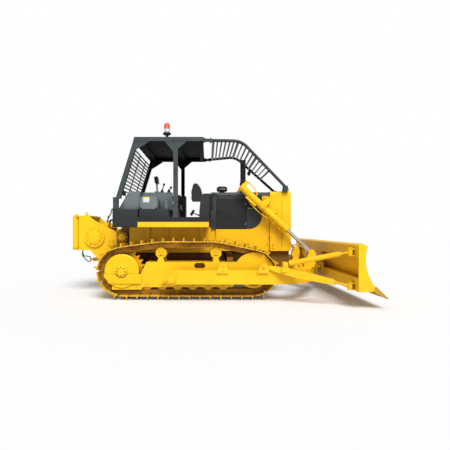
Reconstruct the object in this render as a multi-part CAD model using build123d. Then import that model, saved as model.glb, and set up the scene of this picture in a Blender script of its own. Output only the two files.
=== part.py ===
from build123d import *
from math import atan2, cos, degrees, hypot, pi, radians, sin, sqrt
import os

# A crawler dozer with an angle blade, a canopy with sweeps, and a rear winch.
# Millimetres. +X is forward, +Y the machine's left, +Z up. The ground is Z = 0, and X = 0 lies
# midway between the winch's rearmost plate and the blade's cutting tip, with the blade raised a little.
# Paired pieces are drawn on the left side and mirrored for the right.

# --- General fits ---
seat_gap = 0.3           # between pieces that rest on or in each other
pin_fit = 0.05           # radial running clearance of a pin or shaft that turns
side_gap = 5.0           # between a moving piece and what it passes

# --- Tracks ---
track_gauge = 2000.0     # between the two tracks' centre planes
sprocket_x = -1850.0
ground_length = 2728.0   # sprocket centre to idler centre
link_pitch = 216.0
shoe_width = 560.0
shoe_plate = 18.0
shoe_face = 73.0         # from the pin line out to the shoe's face
shoe_gap = 9.0           # between one shoe and the next
grouser_height = 72.0
grouser_width = 24.0
rail_depth = 58.0        # from the pin line in to the rollers' running surface
rail_offset = 100.0      # from the track's centre plane to each rail's middle
rail_width = 40.0
sprocket_teeth = 25
sprocket_tooth = 26.0    # tooth tip outside the pin circle
sprocket_root = 34.0     # tooth root inside the pin circle
sprocket_width = 64.0
idler_pitch_radius = 402.0
roller_radius = 100.0
roller_first_x = -1334.0
roller_spacing = 316.0
roller_count = 6
carrier_radius = 98.0
carrier_z = 953.0
carrier_places = (-1045.0, 96.0)
roller_shaft = 35.0      # radius
flange_rise = 16.0       # a roller's flange above its running surface

# --- Track frames ---
cheek_inner = 150.0      # from the track's centre plane to each cheek's inner face
cheek_outer = 190.0
frame_bottom = 430.0
frame_top = 770.0
cheek_bottom = 250.0
trunnion_x = -797.0      # the push frame's pivot
trunnion_z = 480.0
trunnion_radius = 60.0

# --- Hull ---
hull_half = 430.0        # half width of the main frame and rear case
rail_plate = 50.0
belly_z = 405.0          # ground clearance
rail_top = 960.0
engine_low = 940.0
equalizer_x = 395.0
equalizer_width = 130.0
rear_case_x = -2150.0
rear_case_front = -1250.0
rear_case_top = 1490.0
guard_rear = 1320.0      # radiator guard
guard_front = 1770.0
guard_half = 550.0
guard_top = 2300.0
guard_wall = 25.0
hood_rear = 0.0
hood_half = 500.0
hood_top = 2286.0
hood_sheet = 20.0
door_bottom = 1450.0
door_top = 2125.0
door_rear = 110.0
door_front = 788.0       # the hinge line
door_thickness = 25.0
door_gap = 4.0
guard_corner_top = 2200.0 # of the yellow corner plate ahead of the hood's side
hinge_radius = 9.0

# --- Operator's station ---
fender_half = 1160.0
fender_bottom = 1490.0
fender_top = 1700.0
fender_rear = -1530.0
fender_front = -50.0
fender_sheet = 14.0
fender_wall_low = 920.0  # of the hull's side plate behind the fender
tank_rear = -2050.0
tank_shoulder = 1870.0
tank_top = 2245.0
console_top = 1870.0     # of the square box under the hydraulic tank
lever_box = 380.0        # height of the lever console on it
tank_upper_half = 990.0
cowl_rear = -270.0
cowl_half = 400.0
cowl_top = 2265.0
seat_back_top = 2348.0

# --- Canopy and sweeps ---
post_y = fender_half - 50.0   # half the distance between the posts
post_size = 94.0
gusset_plate = 12.0
roof_half = fender_half + 5.0
roof_sheet = 8.0
roof_front = -170.0
roof_top = 3360.0
roof_depth = 85.0
rear_post_foot_x = -1934.0
rear_post_foot_z = tank_shoulder + 235.0   # the collar on which a rear post stands
rear_post_head_x = -1577.0
middle_post_x = -745.0
sweep_radius = 33.0
sweep_bend = 420.0
sweep_foot = (1652.0, 620.0, 2385.0)
beacon_height = 320.0    # from the roof to the lens's top

# --- Push frame and blade ---
arm_y = 1415.0           # centre line of the straight arms
arm_width = 170.0
arm_bottom = 352.0
arm_top = 629.0
nose_x = 2470.0
ball_radius = 75.0
ball_z = 545.0
blade_width = 4365.0
blade_back = 2630.0
blade_plate = 20.0
blade_bottom = 310.0
strut_y = 1475.0
strut_z = 703.0
strut_holes = (237.0, 1037.0, 1760.0)
bracket_x = 2570.0       # pins of the blade's own brackets
bracket_y = 1950.0
strut_pin_z = 392.0
strut_gap = 45.0         # half the space between a strut bracket's cheeks
ear_gap = 46.0           # half the space between the ears of a blade bracket
brace_pin_z = 1022.0
brace_radius = 50.0
brace_foot = (1430.0, 1597.0, 762.0)
pin_radius = 28.0

# --- Lift cylinders ---
cylinder_y = 700.0
yoke_x = 1117.0
yoke_z = 1957.0
eye_x = 2210.0
eye_z = 920.0
barrel_radius = 75.0
barrel_behind = 635.0    # from the yoke's axis back to the cap's end
barrel_ahead = 750.0
rod_radius = 38.0
rod_length = 1380.0
eye_radius = 68.0
eye_half = 40.0
lift_lug = 24.0
trunnion_stub = 40.0     # radius of the barrel's own trunnions

# --- Winch ---
winch_half = 420.0
winch_plate = 40.0
winch_bottom = 780.0
drum_x = -2650.0
drum_z = 1270.0
drum_radius = 150.0
drum_flange = 255.0
drum_half = 340.0
fairlead_rear = -3015.0
fairlead_front = -2760.0
fairlead_plate = 40.0
fairlead_bottom = 973.0
fairlead_top = 1750.0
fairlead_roller_x = -3095.0
fairlead_roller_y = 335.0
fairlead_roller_radius = 80.0
cross_roller_x = -2930.0
cross_roller_z = 1085.0
rope_radius = 13.0
tie_x = -2790.0          # the tie-down lug's shackle pin
tie_z = 728.0

track_y = track_gauge / 2
pin_line_z = grouser_height + shoe_face
strut_rear_x = strut_holes[1]
sprocket_radius = link_pitch / (2 * sin(2 * pi / sprocket_teeth))
sprocket_z = pin_line_z + sprocket_radius
idler_x = sprocket_x + ground_length
idler_z = pin_line_z + idler_pitch_radius
roller_z = pin_line_z + rail_depth + seat_gap + roller_radius

os.makedirs("parts", exist_ok=True)


# --- Drawing helpers ---

def block(x0, x1, y0, y1, z0, z1):
    """A box from its six faces."""
    return Pos((x0 + x1) / 2, (y0 + y1) / 2, (z0 + z1) / 2) * Box(x1 - x0, y1 - y0, z1 - z0)


def poly(*points):
    """A flat face from its corners."""
    return make_face(Polyline(*points, close=True))


def block_face(x0, x1, z0, z1):
    """A flat rectangle from its four sides."""
    return poly((x0, z0), (x1, z0), (x1, z1), (x0, z1))


def side_plate(face, y0, y1):
    """A face drawn in (x, z), thick from y0 to y1."""
    return extrude(Plane.XZ.offset(-y1) * face, y1 - y0)


def cross_plate(face, x0, x1):
    """A face drawn in (y, z), thick from x0 to x1."""
    return extrude(Plane.YZ.offset(x0) * face, x1 - x0)


def plan_plate(face, z0, z1):
    """A face drawn in (x, y), thick from z0 to z1."""
    return extrude(Plane.XY.offset(z0) * face, z1 - z0)


def disc_y(x, z, radius, y0, y1):
    """A round bar along Y."""
    return side_plate(Pos(x, z) * Circle(radius), y0, y1)


def rod(start, end, radius):
    """A round bar between two points."""
    run = Vector(*end) - Vector(*start)
    return Plane(origin=start, z_dir=tuple(run)) * extrude(Circle(radius), run.length)


def turned_y(x, y, z, *profile):
    """A profile of (radius, distance outboard) turned about an axis along Y."""
    shape = revolve(Plane.XZ * poly(*profile), Axis.Z)
    return Plane(origin=(x, y, z), x_dir=(1, 0, 0), z_dir=(0, 1, 0)) * shape


def tube(points, radii, radius):
    """A round bar along straight runs joined by tangent arcs."""
    path = FilletPolyline(*points, radius=radii)
    start = Plane(origin=path @ 0, z_dir=path % 0)
    return sweep(start * Circle(radius), path=path)


def save(name, shape):
    export_step(shape, f"parts/{name}.step")


def save_sides(name, left):
    """The left piece as drawn, and its mirror image on the right, each a node."""
    save(f"{name}_left", left)
    save(f"{name}_right", mirror(left, Plane.XZ))


def save_set(name, pieces):
    """The left side's pieces and their mirror images, together in one node."""
    save(name, Compound(children=pieces + [mirror(piece, Plane.XZ) for piece in pieces]))


# --- Track: a belt of pins round the wheels, rails along it and a shoe on every link ---

def belt_runs(circles):
    """The straight run from each circle (x, z, radius) to the next, as (tangent point, tangent point)."""
    runs = []
    for (x0, z0, r0), (x1, z1, r1) in zip(circles, circles[1:] + circles[:1]):
        gap = hypot(x1 - x0, z1 - z0)
        ux, uz = (x1 - x0) / gap, (z1 - z0) / gap
        along = (r0 - r1) / gap
        across = sqrt(1 - along * along)
        nx, nz = ux * along + uz * across, uz * along - ux * across
        runs.append(((x0 + r0 * nx, z0 + r0 * nz), (x1 + r1 * nx, z1 + r1 * nz)))
    return runs


def belt_pins():
    """The chain's pins, evenly spaced along the belt round idler, carrier rollers and sprocket."""
    carrier = carrier_radius + rail_depth + 14
    circles = [(idler_x, idler_z, idler_pitch_radius)]
    circles += [(x, carrier_z, carrier) for x in reversed(carrier_places)]
    circles += [(sprocket_x, sprocket_z, sprocket_radius)]
    runs = belt_runs(circles)
    stretches = []
    for index, (x, z, radius) in enumerate(circles):
        arrive = runs[index - 1][1]
        leave = runs[index][0]
        first = atan2(arrive[1] - z, arrive[0] - x)
        turn = (atan2(leave[1] - z, leave[0] - x) - first) % (2 * pi)
        stretches.append((radius * turn, "arc", (x, z, radius, first, turn)))
        start, end = runs[index]
        stretches.append((hypot(end[0] - start[0], end[1] - start[1]), "run", (start, end)))
    total = sum(stretch[0] for stretch in stretches)
    count = round(total / link_pitch)
    pins = []
    for number in range(count):
        distance = total * number / count
        for length, kind, shape in stretches:
            if distance <= length:
                break
            distance -= length
        share = distance / length
        if kind == "arc":
            x, z, radius, first, turn = shape
            angle = first + turn * share
            pins.append((x + radius * cos(angle), z + radius * sin(angle)))
        else:
            (x0, z0), (x1, z1) = shape
            pins.append((x0 + (x1 - x0) * share, z0 + (z1 - z0) * share))
    return pins


def outset(points, distance):
    """A closed loop of points moved outwards by a distance, with mitred corners."""
    moved = []
    for before, here, after in zip(points[-1:] + points[:-1], points, points[1:] + points[:1]):
        a = Vector(here[0] - before[0], here[1] - before[1]).normalized()
        b = Vector(after[0] - here[0], after[1] - here[1]).normalized()
        mid = Vector(a.Y + b.Y, -a.X - b.X).normalized()
        stretch = distance / (mid.X * a.Y - mid.Y * a.X)
        moved.append((here[0] + mid.X * stretch, here[1] + mid.Y * stretch))
    return moved


def track():
    pins = belt_pins()
    inner = shoe_face - shoe_plate
    ring = poly(*outset(pins, inner)) - poly(*outset(pins, -rail_depth))
    half = rail_width / 2
    rails = [side_plate(ring, track_y + side * rail_offset - half, track_y + side * rail_offset + half)
             for side in (-1, 1)]
    shoes = []
    for (x0, z0), (x1, z1) in zip(pins, pins[1:] + pins[:1]):
        length = hypot(x1 - x0, z1 - z0)
        reach = length / 2 - shoe_gap / 2
        bar = -reach + 30
        tip = shoe_face + grouser_height
        shoe = poly((-reach, inner), (reach, inner), (reach, shoe_face), (bar + grouser_width, shoe_face),
                    (bar + grouser_width - 4, tip), (bar + 4, tip), (bar, shoe_face), (-reach, shoe_face))
        turn = degrees(atan2(z1 - z0, x1 - x0)) + 180
        placed = Pos((x0 + x1) / 2, (z0 + z1) / 2) * Rot(0, 0, turn) * shoe
        shoes.append(side_plate(placed, track_y - shoe_width / 2, track_y + shoe_width / 2))
    return rails[0].fuse(rails[1], *shoes)


def sprocket():
    """Toothed rim between the rails, with the drive's dished cover and hub cap outboard."""
    corners = []
    step = 2 * pi / sprocket_teeth
    tip = sprocket_radius + sprocket_tooth
    root = sprocket_radius - sprocket_root
    for tooth in range(sprocket_teeth):
        for radius, share in ((root, -0.30), (tip, -0.11), (tip, 0.11), (root, 0.30)):
            angle = (tooth + share) * step
            corners.append((radius * cos(angle), radius * sin(angle)))
    half = sprocket_width / 2
    rim = side_plate(Pos(sprocket_x, sprocket_z) * poly(*corners), track_y - half, track_y + half)
    cover = turned_y(sprocket_x, track_y, sprocket_z, (0, 30), (345, 30), (345, 128), (355, 135), (355, 196),
                     (330, 214), (205, 196), (120, 196), (120, 236), (96, 252), (0, 252))
    return rim + cover


def idler():
    chord = sqrt(idler_pitch_radius ** 2 - (link_pitch / 2) ** 2)
    rim = chord - rail_depth - 2 * seat_gap
    flange = rim + flange_rise
    return turned_y(idler_x, track_y, idler_z, (50 + seat_gap, -140), (96, -140), (96, -52), (rim - 60, -46),
                    (rim - 48, -128), (rim, -128), (rim, -68), (flange, -60), (flange, 60), (rim, 68), (rim, 128),
                    (rim - 48, 128), (rim - 60, 46), (96, 52), (96, 140), (50 + seat_gap, 140))


def roller(x, z, radius, reach):
    """A track roller with flanges outside the rails, on its shaft, with end collars."""
    flange = radius + flange_rise
    gap = rail_offset + rail_width / 2 + 4
    cap = reach + seat_gap
    return turned_y(x, track_y, z, (0, -cap - 14), (52, -cap - 14), (52, -cap), (roller_shaft, -cap),
                    (roller_shaft, -142), (flange, -142), (flange, -gap), (radius, -gap), (radius, gap),
                    (flange, gap), (flange, 142), (roller_shaft, 142), (roller_shaft, cap), (52, cap),
                    (52, cap + 14), (0, cap + 14))


def bottom_rollers():
    places = [roller_first_x + number * roller_spacing for number in range(roller_count)]
    return [roller(x, roller_z, roller_radius, cheek_outer) for x in places]


def carrier_rollers():
    return [carrier_roller(x) for x in carrier_places]


def carrier_roller(x):
    """A carrier roller on the shaft that its post holds at the inboard side."""
    gap = rail_offset + rail_width / 2 + 4
    flange = carrier_radius + flange_rise
    return turned_y(x, track_y, carrier_z, (0, -cheek_outer - 12), (50, -cheek_outer - 12),
                    (50, -cheek_outer - seat_gap), (roller_shaft, -cheek_outer - seat_gap), (roller_shaft, -140),
                    (flange, -138), (flange, -gap), (carrier_radius, -gap), (carrier_radius, gap), (flange, gap),
                    (flange, 136), (60, 142), (60, 152), (0, 152))


def cheek(outline_guard):
    """One side plate of a track frame: hung low between the rollers, reaching forward past the idler."""
    low = cheek_bottom
    plate = poly((-1500, frame_bottom), (-1430, low), (440, low), (560, frame_bottom), (1180, frame_bottom),
                 (1235, 480), (1235, 640), (1180, 660), (500, frame_top), (-1340, frame_top))
    if outline_guard:
        dome = Pos(idler_x, idler_z) * Circle(idler_pitch_radius + 18)
        dome &= Pos(idler_x, idler_z + 300) * Rectangle(1000, 440)
        foot = poly((-2050, 200), (-1430, 200), (-1430, 420), (-1520, 420), (-1560, 350), (-2050, 350))
        plate = plate + dome + foot
        plate -= Pos(sprocket_x, sprocket_z) * Circle(363)
        plate -= step_slot()
    return plate


def step_slot():
    """The long hole in a track frame's side that serves as a step."""
    return Pos(-240, 696) * SlotOverall(226, 110)


def track_frame():
    """Box beam between two cheeks, with posts for the carrier rollers and a boss for the push frame."""
    beam = block(-1350, 480, track_y - cheek_inner, track_y + cheek_inner, frame_bottom, frame_top - 10)
    inner = side_plate(cheek(False), track_y - cheek_outer, track_y - cheek_inner)
    outer = side_plate(cheek(True), track_y + cheek_inner, track_y + cheek_outer)
    beam -= side_plate(step_slot(), track_y + 40, track_y + cheek_inner + 1)
    shape = beam + inner + outer
    for x in carrier_places:
        post = poly((x - 90, frame_top - 20), (x + 90, frame_top - 20), (x + 52, carrier_z + 48), (x - 52, carrier_z + 48))
        shape += side_plate(post, track_y - cheek_outer, track_y - cheek_inner)
        shape -= disc_y(x, carrier_z, roller_shaft + seat_gap, track_y - 200, track_y - 100)
        neck = poly((x - 80, frame_top - 20), (x + 80, frame_top - 20), (x + 38, carrier_z - 66), (x - 38, carrier_z - 66))
        shape += side_plate(neck, track_y + cheek_inner + 2, track_y + cheek_outer)
    for number in range(roller_count):
        x = roller_first_x + number * roller_spacing
        shape -= disc_y(x, roller_z, roller_shaft + seat_gap, track_y - 200, track_y + 200)
    shape += disc_y(idler_x, idler_z, 50, track_y - cheek_outer, track_y + cheek_outer + 20)
    boss = track_y + cheek_outer
    shape += disc_y(trunnion_x, trunnion_z, 138, boss - 5, boss + 90)
    shape += disc_y(trunnion_x, trunnion_z, trunnion_radius, boss, arm_y + arm_width / 2 + 22)
    shape += disc_y(trunnion_x, trunnion_z, 105, arm_y + arm_width / 2 + 6, arm_y + arm_width / 2 + 40)
    return shape


# --- Hull ---

def main_frame():
    """Two deep side plates joined by a belly guard and cross members, with a pull hook at the nose."""
    side = poly((rear_case_front, belly_z), (1450, belly_z), (guard_front, 640), (guard_front, rail_top),
                (rear_case_front, rail_top))
    side -= Pos(equalizer_x, 855) * Rectangle(equalizer_width + 40, 172)
    inner = hull_half - rail_plate
    shape = side_plate(side, inner, hull_half) + side_plate(side, -hull_half, -inner)
    shape += block(rear_case_front, 1450, -inner, inner, belly_z, belly_z + 25)
    nose = poly((1450, belly_z), (guard_front, 640), (guard_front, rail_top), (guard_front - 25, rail_top),
                (guard_front - 25, 655), (1440, belly_z + 25))
    shape += side_plate(nose, -inner, inner)
    saddle = equalizer_width / 2
    for x0, x1, z0, z1 in ((rear_case_front, rear_case_front + 60, 430, 900), (170, 270, 430, engine_low),
                           (equalizer_x - saddle, equalizer_x + saddle, 430, 780), (1000, 1120, 430, engine_low)):
        shape += block(x0, x1, -inner, inner, z0, z1)
    hook = Pos(guard_front + 60, 780) * (Rectangle(130, 120) + Pos(65, 0) * Circle(60))
    for y in (-55, 30):
        shape += side_plate(hook, y, y + 25)
    shape -= disc_y(guard_front + 125, 780, 26, -80, 80)
    return shape


def rear_case():
    """The steering and drive case across the rear, with round bearing covers at its sides."""
    outline = poly((rear_case_x, belly_z + 60), (rear_case_x + 60, belly_z), (rear_case_front, belly_z),
                   (rear_case_front, rear_case_top), (tank_rear + 30, rear_case_top), (rear_case_x, 1380))
    shape = side_plate(outline, -hull_half, hull_half)
    for side in (-1, 1):
        y0, y1 = sorted((side * hull_half, side * (hull_half + 45)))
        shape += disc_y(-2010, 1270, 128, y0, y1)
    return shape


def final_drive():
    """The reduction case between the hull and the sprocket."""
    inner = track_y - sprocket_width / 2 - seat_gap
    return turned_y(sprocket_x, hull_half, sprocket_z, (0, 0), (300, 0), (300, 60), (250, 80), (250, 240),
                    (325, 300), (325, inner - hull_half), (0, inner - hull_half))


def pivot_shaft():
    """The rear pivot that carries a track frame."""
    inner = track_y - cheek_outer
    shape = disc_y(-1120, 600, 85, hull_half, inner)
    shape += disc_y(-1120, 600, 130, hull_half, hull_half + 60)
    shape += disc_y(-1120, 600, 120, inner - 70, inner)
    return shape


def equalizer_bar():
    """The cross beam that rests on both track frames and rocks on the hull's saddle."""
    high = 925
    outline = poly((-track_y - 90, frame_top + seat_gap), (-track_y + 110, frame_top + seat_gap), (-track_y + 200, 790),
                   (-200, 780 + seat_gap), (200, 780 + seat_gap), (track_y - 200, 790),
                   (track_y - 110, frame_top + seat_gap), (track_y + 90, frame_top + seat_gap),
                   (track_y + 90, 860), (track_y - 200, high), (-track_y + 200, high), (-track_y - 90, 860))
    return cross_plate(outline, equalizer_x - equalizer_width / 2, equalizer_x + equalizer_width / 2)


def engine_block():
    return block(160, 1150, -330, 330, engine_low, 1960)


def bay_corner(rear, front, gap):
    """The region ahead of the hood's rounded lower corner, up to a step beside the radiator guard."""
    step = guard_rear - 171 + gap
    corner = poly((rear, 1440), (front, 1440), (front, 1746 - gap), (step, 1746 - gap))
    corner += poly((step, 1440), (front, 1440), (front, guard_corner_top - gap), (step, guard_corner_top - gap))
    return corner - Pos(door_front + 60, 1746) * Ellipse(301 + gap, 296 + gap)


def engine_bay_side():
    """The engine bay's lower side plate, which rises ahead of the hood to the radiator guard."""
    plate = poly((door_rear, rail_top), (guard_rear, rail_top), (guard_rear, 1446), (door_rear, 1446))
    plate += bay_corner(door_front + hinge_radius + seat_gap, guard_rear + 30, seat_gap)
    shape = side_plate(plate, hood_half - 30, hood_half)
    shape += block(door_rear, guard_rear, hull_half - rail_plate, hood_half - 30, rail_top, rail_top + 20)
    return shape


def radiator_guard():
    """The heavy box round the radiator, open in front for its grille and open at the rear."""
    outer = poly((-guard_half, rail_top), (guard_half, rail_top), (guard_half, guard_top), (-guard_half, guard_top))
    outer = fillet(outer.vertices().group_by(Axis.Y)[-1], 60)
    hole = Pos(0, (rail_top + guard_top) / 2) * Rectangle(2 * (guard_half - guard_wall),
                                                          guard_top - rail_top - 2 * guard_wall)
    shape = cross_plate(outer - hole, guard_rear, guard_front)
    window = Pos(0, (rail_top + guard_top) / 2) * RectangleRounded(2 * guard_half - 180, guard_top - rail_top - 200, 40)
    shape += cross_plate(outer - window, guard_front - 20, guard_front + 20)
    return shape


def front_grille():
    """Horizontal bars across the guard's window, joined by three uprights."""
    half = guard_half - 92
    low, high = rail_top + 108, guard_top - 108
    front = guard_front - 20 - seat_gap
    count = 15
    shape = Part()
    for number in range(count):
        z = low + (high - low) * (number + 0.5) / count
        bar = poly((front - 40, z - 16), (front, z - 28), (front, z - 14), (front - 40, z + 2))
        shape += side_plate(bar, -half - 5, half + 5)
    for y in (-half - 5, -10, half - 15):
        shape += block(front - 30, front - 12, y, y + 20, low - 15, high + 15)
    return shape


def radiator_core():
    return block(1400, 1480, 25 - guard_half, guard_half - 25, rail_top + 25, guard_top - 120)


def engine_hood():
    """The hood's arched top with its fixed side strips, open below and at the door openings."""
    outer = poly((-hood_half, 1450), (hood_half, 1450), (hood_half, hood_top), (-hood_half, hood_top))
    outer = fillet(outer.vertices().group_by(Axis.Y)[-1], 70)
    inner = poly((-hood_half + hood_sheet, 1440), (hood_half - hood_sheet, 1440),
                 (hood_half - hood_sheet, hood_top - hood_sheet), (-hood_half + hood_sheet, hood_top - hood_sheet))
    inner = fillet(inner.vertices().group_by(Axis.Y)[-1], 50)
    shape = cross_plate(outer - inner, hood_rear, guard_rear)
    cut = 20 + hood_half
    shape -= block(door_rear, door_front + hinge_radius + seat_gap, -cut, cut, 1440, door_top + door_gap)
    shape -= side_plate(bay_corner(door_front, guard_rear + 1, 0), -cut, cut)
    bulkhead = block(hood_rear, hood_rear + 15, -hood_half + hood_sheet, hood_half - hood_sheet,
                     fender_bottom + seat_gap, hood_top - 60)
    return shape + bulkhead


def engine_door():
    """A side door with a pressed crease and a handle recess, hinged on its front edge."""
    rear, front = door_rear + door_gap, door_front - door_gap
    shape = block(rear, front, hood_half - door_thickness, hood_half, door_bottom, door_top)
    crease = poly((rear - 5, 1706), (front + 5, 1706), (front + 5, 1716), (rear - 5, 1716))
    shape -= side_plate(crease, hood_half - 6, hood_half + 5)
    shape -= block(rear + 30, rear + 100, hood_half - 12, hood_half + 5, 1815, 1850)
    for z in (1540, 1990):
        shape += rod((door_front, hood_half, z), (door_front, hood_half, z + 60), hinge_radius)
        shape += block(front - 20, door_front, hood_half - 4, hood_half + 3, z, z + 60)
    return shape


def exhaust_stack():
    """The muffler's outlet with its flared base and a cut-back outlet."""
    x = 767
    pipe = revolve(Plane.XZ * poly((0, hood_top), (95, hood_top), (95, hood_top + 24), (78, hood_top + 60),
                                   (78, 2540), (64, 2590), (64, 3090), (0, 3090)), Axis.Z)
    pipe -= Pos(0, 0, 2900) * Cylinder(57, 600)
    return Pos(x, 0, 0) * pipe


def air_precleaner():
    """The mushroom cap of the engine's air intake."""
    profile = poly((0, hood_top), (62, hood_top), (62, 2340), (120, 2352), (128, 2375), (128, 2430), (100, 2462),
                   (0, 2474))
    return Pos(265, 0, 0) * revolve(Plane.XZ * profile, Axis.Z)


# --- Operator's station ---

def fender():
    """Side platform over a track: a folded deck with an outer band, carried on a ribbed wall."""
    shape = block(fender_rear, fender_front, hull_half, fender_half, fender_top - fender_sheet, fender_top)
    shape += block(fender_rear, fender_front, fender_half - fender_sheet, fender_half, fender_bottom, fender_top)
    for x in (fender_rear, fender_front - fender_sheet):
        shape += block(x, x + fender_sheet, hull_half, fender_half, fender_bottom, fender_top)
    shape += block(-1850, door_rear, hull_half, hull_half + 25, fender_wall_low, fender_bottom)
    shape += block(fender_rear, hood_rear - seat_gap, hull_half, hull_half + 25, fender_bottom - 1, fender_top)
    ring = Pos(fender_front + 42, fender_top - 85) * Circle(56)
    ring += block_face(fender_front - fender_sheet, fender_front + 42, fender_top - 130, fender_top - 40)
    ring -= Pos(fender_front + 42, fender_top - 85) * Circle(24)
    shape += side_plate(ring, fender_half - 60, fender_half - 30)
    for x, width in ((-1510, 120), (-1030, 60), (-250, 80)):
        shape += block(x, x + width, hull_half + 20, hull_half + 60, fender_wall_low, fender_bottom + 20)
        rib = poly((hull_half + 20, fender_bottom + 10), (fender_half - 40, fender_bottom + 60),
                   (fender_half - 40, fender_top - 5), (hull_half + 20, fender_top - 5))
        shape += cross_plate(rib, x, x + 20)
    return shape


def operator_deck():
    """The floor between the fenders, with the bulkhead that closes the hull behind the engine."""
    shape = block(fender_rear, fender_front, -hull_half, hull_half, fender_top - 20, fender_top)
    shape += block(fender_front - 20, fender_front, -hull_half, hull_half, rail_top, fender_top)
    shape += block(fender_rear, fender_rear + 20, -hull_half, hull_half, rear_case_top, fender_top)
    shape += block(rear_case_front - 20, rear_case_front, -hull_half, hull_half, rear_case_top, fender_top)
    return shape


def fuel_tank():
    """The full-width tank at the rear with a narrower sloped upper part."""
    lower = block(tank_rear, fender_rear, -fender_half, fender_half, rear_case_top, tank_shoulder)
    lower = fillet(lower.edges().filter_by(Axis.X), 25)
    front = fender_rear + 15
    outline = poly((tank_rear + 80, tank_shoulder - 5), (front - 245, tank_top - 20), (front - 205, tank_top),
                   (front, tank_top), (front, tank_shoulder), (fender_rear, tank_shoulder),
                   (fender_rear, tank_shoulder - 5))
    upper = side_plate(outline, -tank_upper_half, tank_upper_half)
    cap = Pos(-1620, 500, tank_top + 22) * Cylinder(55, 44)
    return lower + upper + cap


def hydraulic_tank():
    """Side console on the right fender: a square box below a rounded tank, with the filter behind its strap."""
    outer, inner = 50 - fender_half, 540 - fender_half
    shape = block(-1510, -905, outer, inner, fender_top, console_top)
    top = Pos(-1312, console_top + 136) * RectangleRounded(355, 272, 70)
    shape += side_plate(top, outer + 10, inner - 10)
    shape += block(-1132, -1118, outer + 30, inner - 30, console_top, console_top + 210)
    shape += Pos(-950, outer + 110, console_top + 90) * Cylinder(58, 185)
    shape += block(-1490, -850, inner - 140, inner - 10, console_top - 30, console_top + lever_box)
    return shape


def battery_box():
    """The box on the left fender, beside the seat."""
    shape = block(-905, -640, fender_half - 540, fender_half - 140, fender_top, 2300)
    return fillet(shape.edges().filter_by(Axis.Z), 25)


def dash_cowl():
    """The cowl between the operator and the hood, with a stepped top."""
    outline = poly((cowl_rear, fender_top), (hood_rear, fender_top), (hood_rear, cowl_top), (cowl_rear + 90, cowl_top),
                   (cowl_rear + 30, cowl_top - 90), (cowl_rear, 1850))
    outline = fillet(outline.vertices().sort_by(Axis.Y)[-1], 40)
    return side_plate(outline, -cowl_half, cowl_half)


def instrument_panel():
    """The rounded gauge panel that leans on the cowl's sloped corner."""
    rear, low, high = cowl_rear - 180, cowl_top - 140, cowl_top + 250
    outline = poly((rear, low), (rear, high - 165), (rear + 35, high - 35), (rear + 75, high), (rear + 140, high - 15),
                   (rear + 215, high - 120), (rear + 241, high - 215), (rear + 241, low))
    outline -= poly((cowl_rear - seat_gap, 1850), (cowl_rear + 30 - seat_gap, cowl_top - 90),
                    (cowl_rear + 90, cowl_top + seat_gap), (hood_rear, cowl_top + seat_gap), (hood_rear, 1850))
    return side_plate(outline, -280, 280)


def seat_frame():
    """The seat's pedestal and its cushion shell with armrests."""
    base = block(-1130, -760, -190, 190, fender_top, 1900)
    pan = block(-1265, -690, -260, 260, 1900, 1930)
    arms = Part()
    for y in (-310, 265):
        arms += block(-1150, -760, y, y + 45, 2140, 2190)
        arms += block(-1150, -1100, y, y + 45, 1900, 2145)
    ties = block(-1150, -1100, -310, 310, 1900, 1925)
    return base + pan + arms + ties


def seat_cushion():
    cushion = block(-1165, -690, -240, 240, 1930 + seat_gap, 2050)
    cushion = fillet(cushion.edges().filter_by(Axis.Z), 50)
    return fillet(cushion.edges().group_by(Axis.Z)[-1], 30)


def seat_back():
    low = 1930 + seat_gap
    outline = poly((-1270, low), (-1172, low), (-1172, 2050), (-1215, seat_back_top), (-1312, seat_back_top))
    back = side_plate(outline, -235, 235)
    return fillet(back.edges().filter_by(Axis.X, reverse=True).group_by(Axis.Z)[-1], 30)


def headrest():
    """The separate head cushion on its two long posts."""
    middle = seat_back_top + 268
    shape = side_plate(Pos(-1296, middle) * Rot(0, 0, 8) * RectangleRounded(95, 190, 35), -150, 150)
    for y in (-105, 105):
        post_end = rod((-1262, y, seat_back_top - 10), (-1300, y, middle), 11)
        post_end -= block(-1400, -1100, y - 30, y + 30, seat_back_top - 60, seat_back_top + seat_gap)
        shape += post_end
    return shape


def controls():
    """Steering, gear and blade levers with round knobs in their boots, and three foot pedals under the cowl."""
    pieces = []
    # foot, and the knob's offset from it
    levers_z = console_top + lever_box
    for (x, y, z), lean in (((-1080, -690, levers_z), (42, 0, 182)), ((-930, -690, levers_z), (46, 0, 116)),
                            ((-725, -560, fender_top), (10, 0, 490)), ((-730, 480, fender_top), (30, -30, 470))):
        lever = Pos(x, y, z + seat_gap + 25) * Cone(34, 18, 50)
        knob = (x + lean[0], y + lean[1], z + lean[2])
        lever += rod((x, y, z + 40), knob, 11)
        pieces.append(lever + Pos(*knob) * Sphere(27))
    for y in (-180, 0, 180):
        pad = poly((-495, 1790), (-462, 1770), (-388, 1890), (-420, 1912))
        arm = poly((-440, 1840), (-425, 1830), (cowl_rear - seat_gap, 1760), (cowl_rear - seat_gap, 1790))
        pieces.append(side_plate(pad, y - 55, y + 55) + side_plate(arm, y - 12, y + 12))
    return pieces


# --- Canopy ---

def post(foot, head, size):
    """A square post between two points of its centre line, cut level at both ends."""
    x0, y, z0 = foot
    x1, _, z1 = head
    half = size / 2
    outline = poly((x0 - half, z0), (x0 + half, z0), (x1 + half, z1), (x1 - half, z1))
    return side_plate(outline, y - half, y + half)


def rear_post_x(z):
    """The rear posts' centre line, continued up through the roof."""
    run = (rear_post_head_x - rear_post_foot_x) / (roof_top - roof_depth - rear_post_foot_z)
    return rear_post_foot_x + (z - rear_post_foot_z) * run


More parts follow.
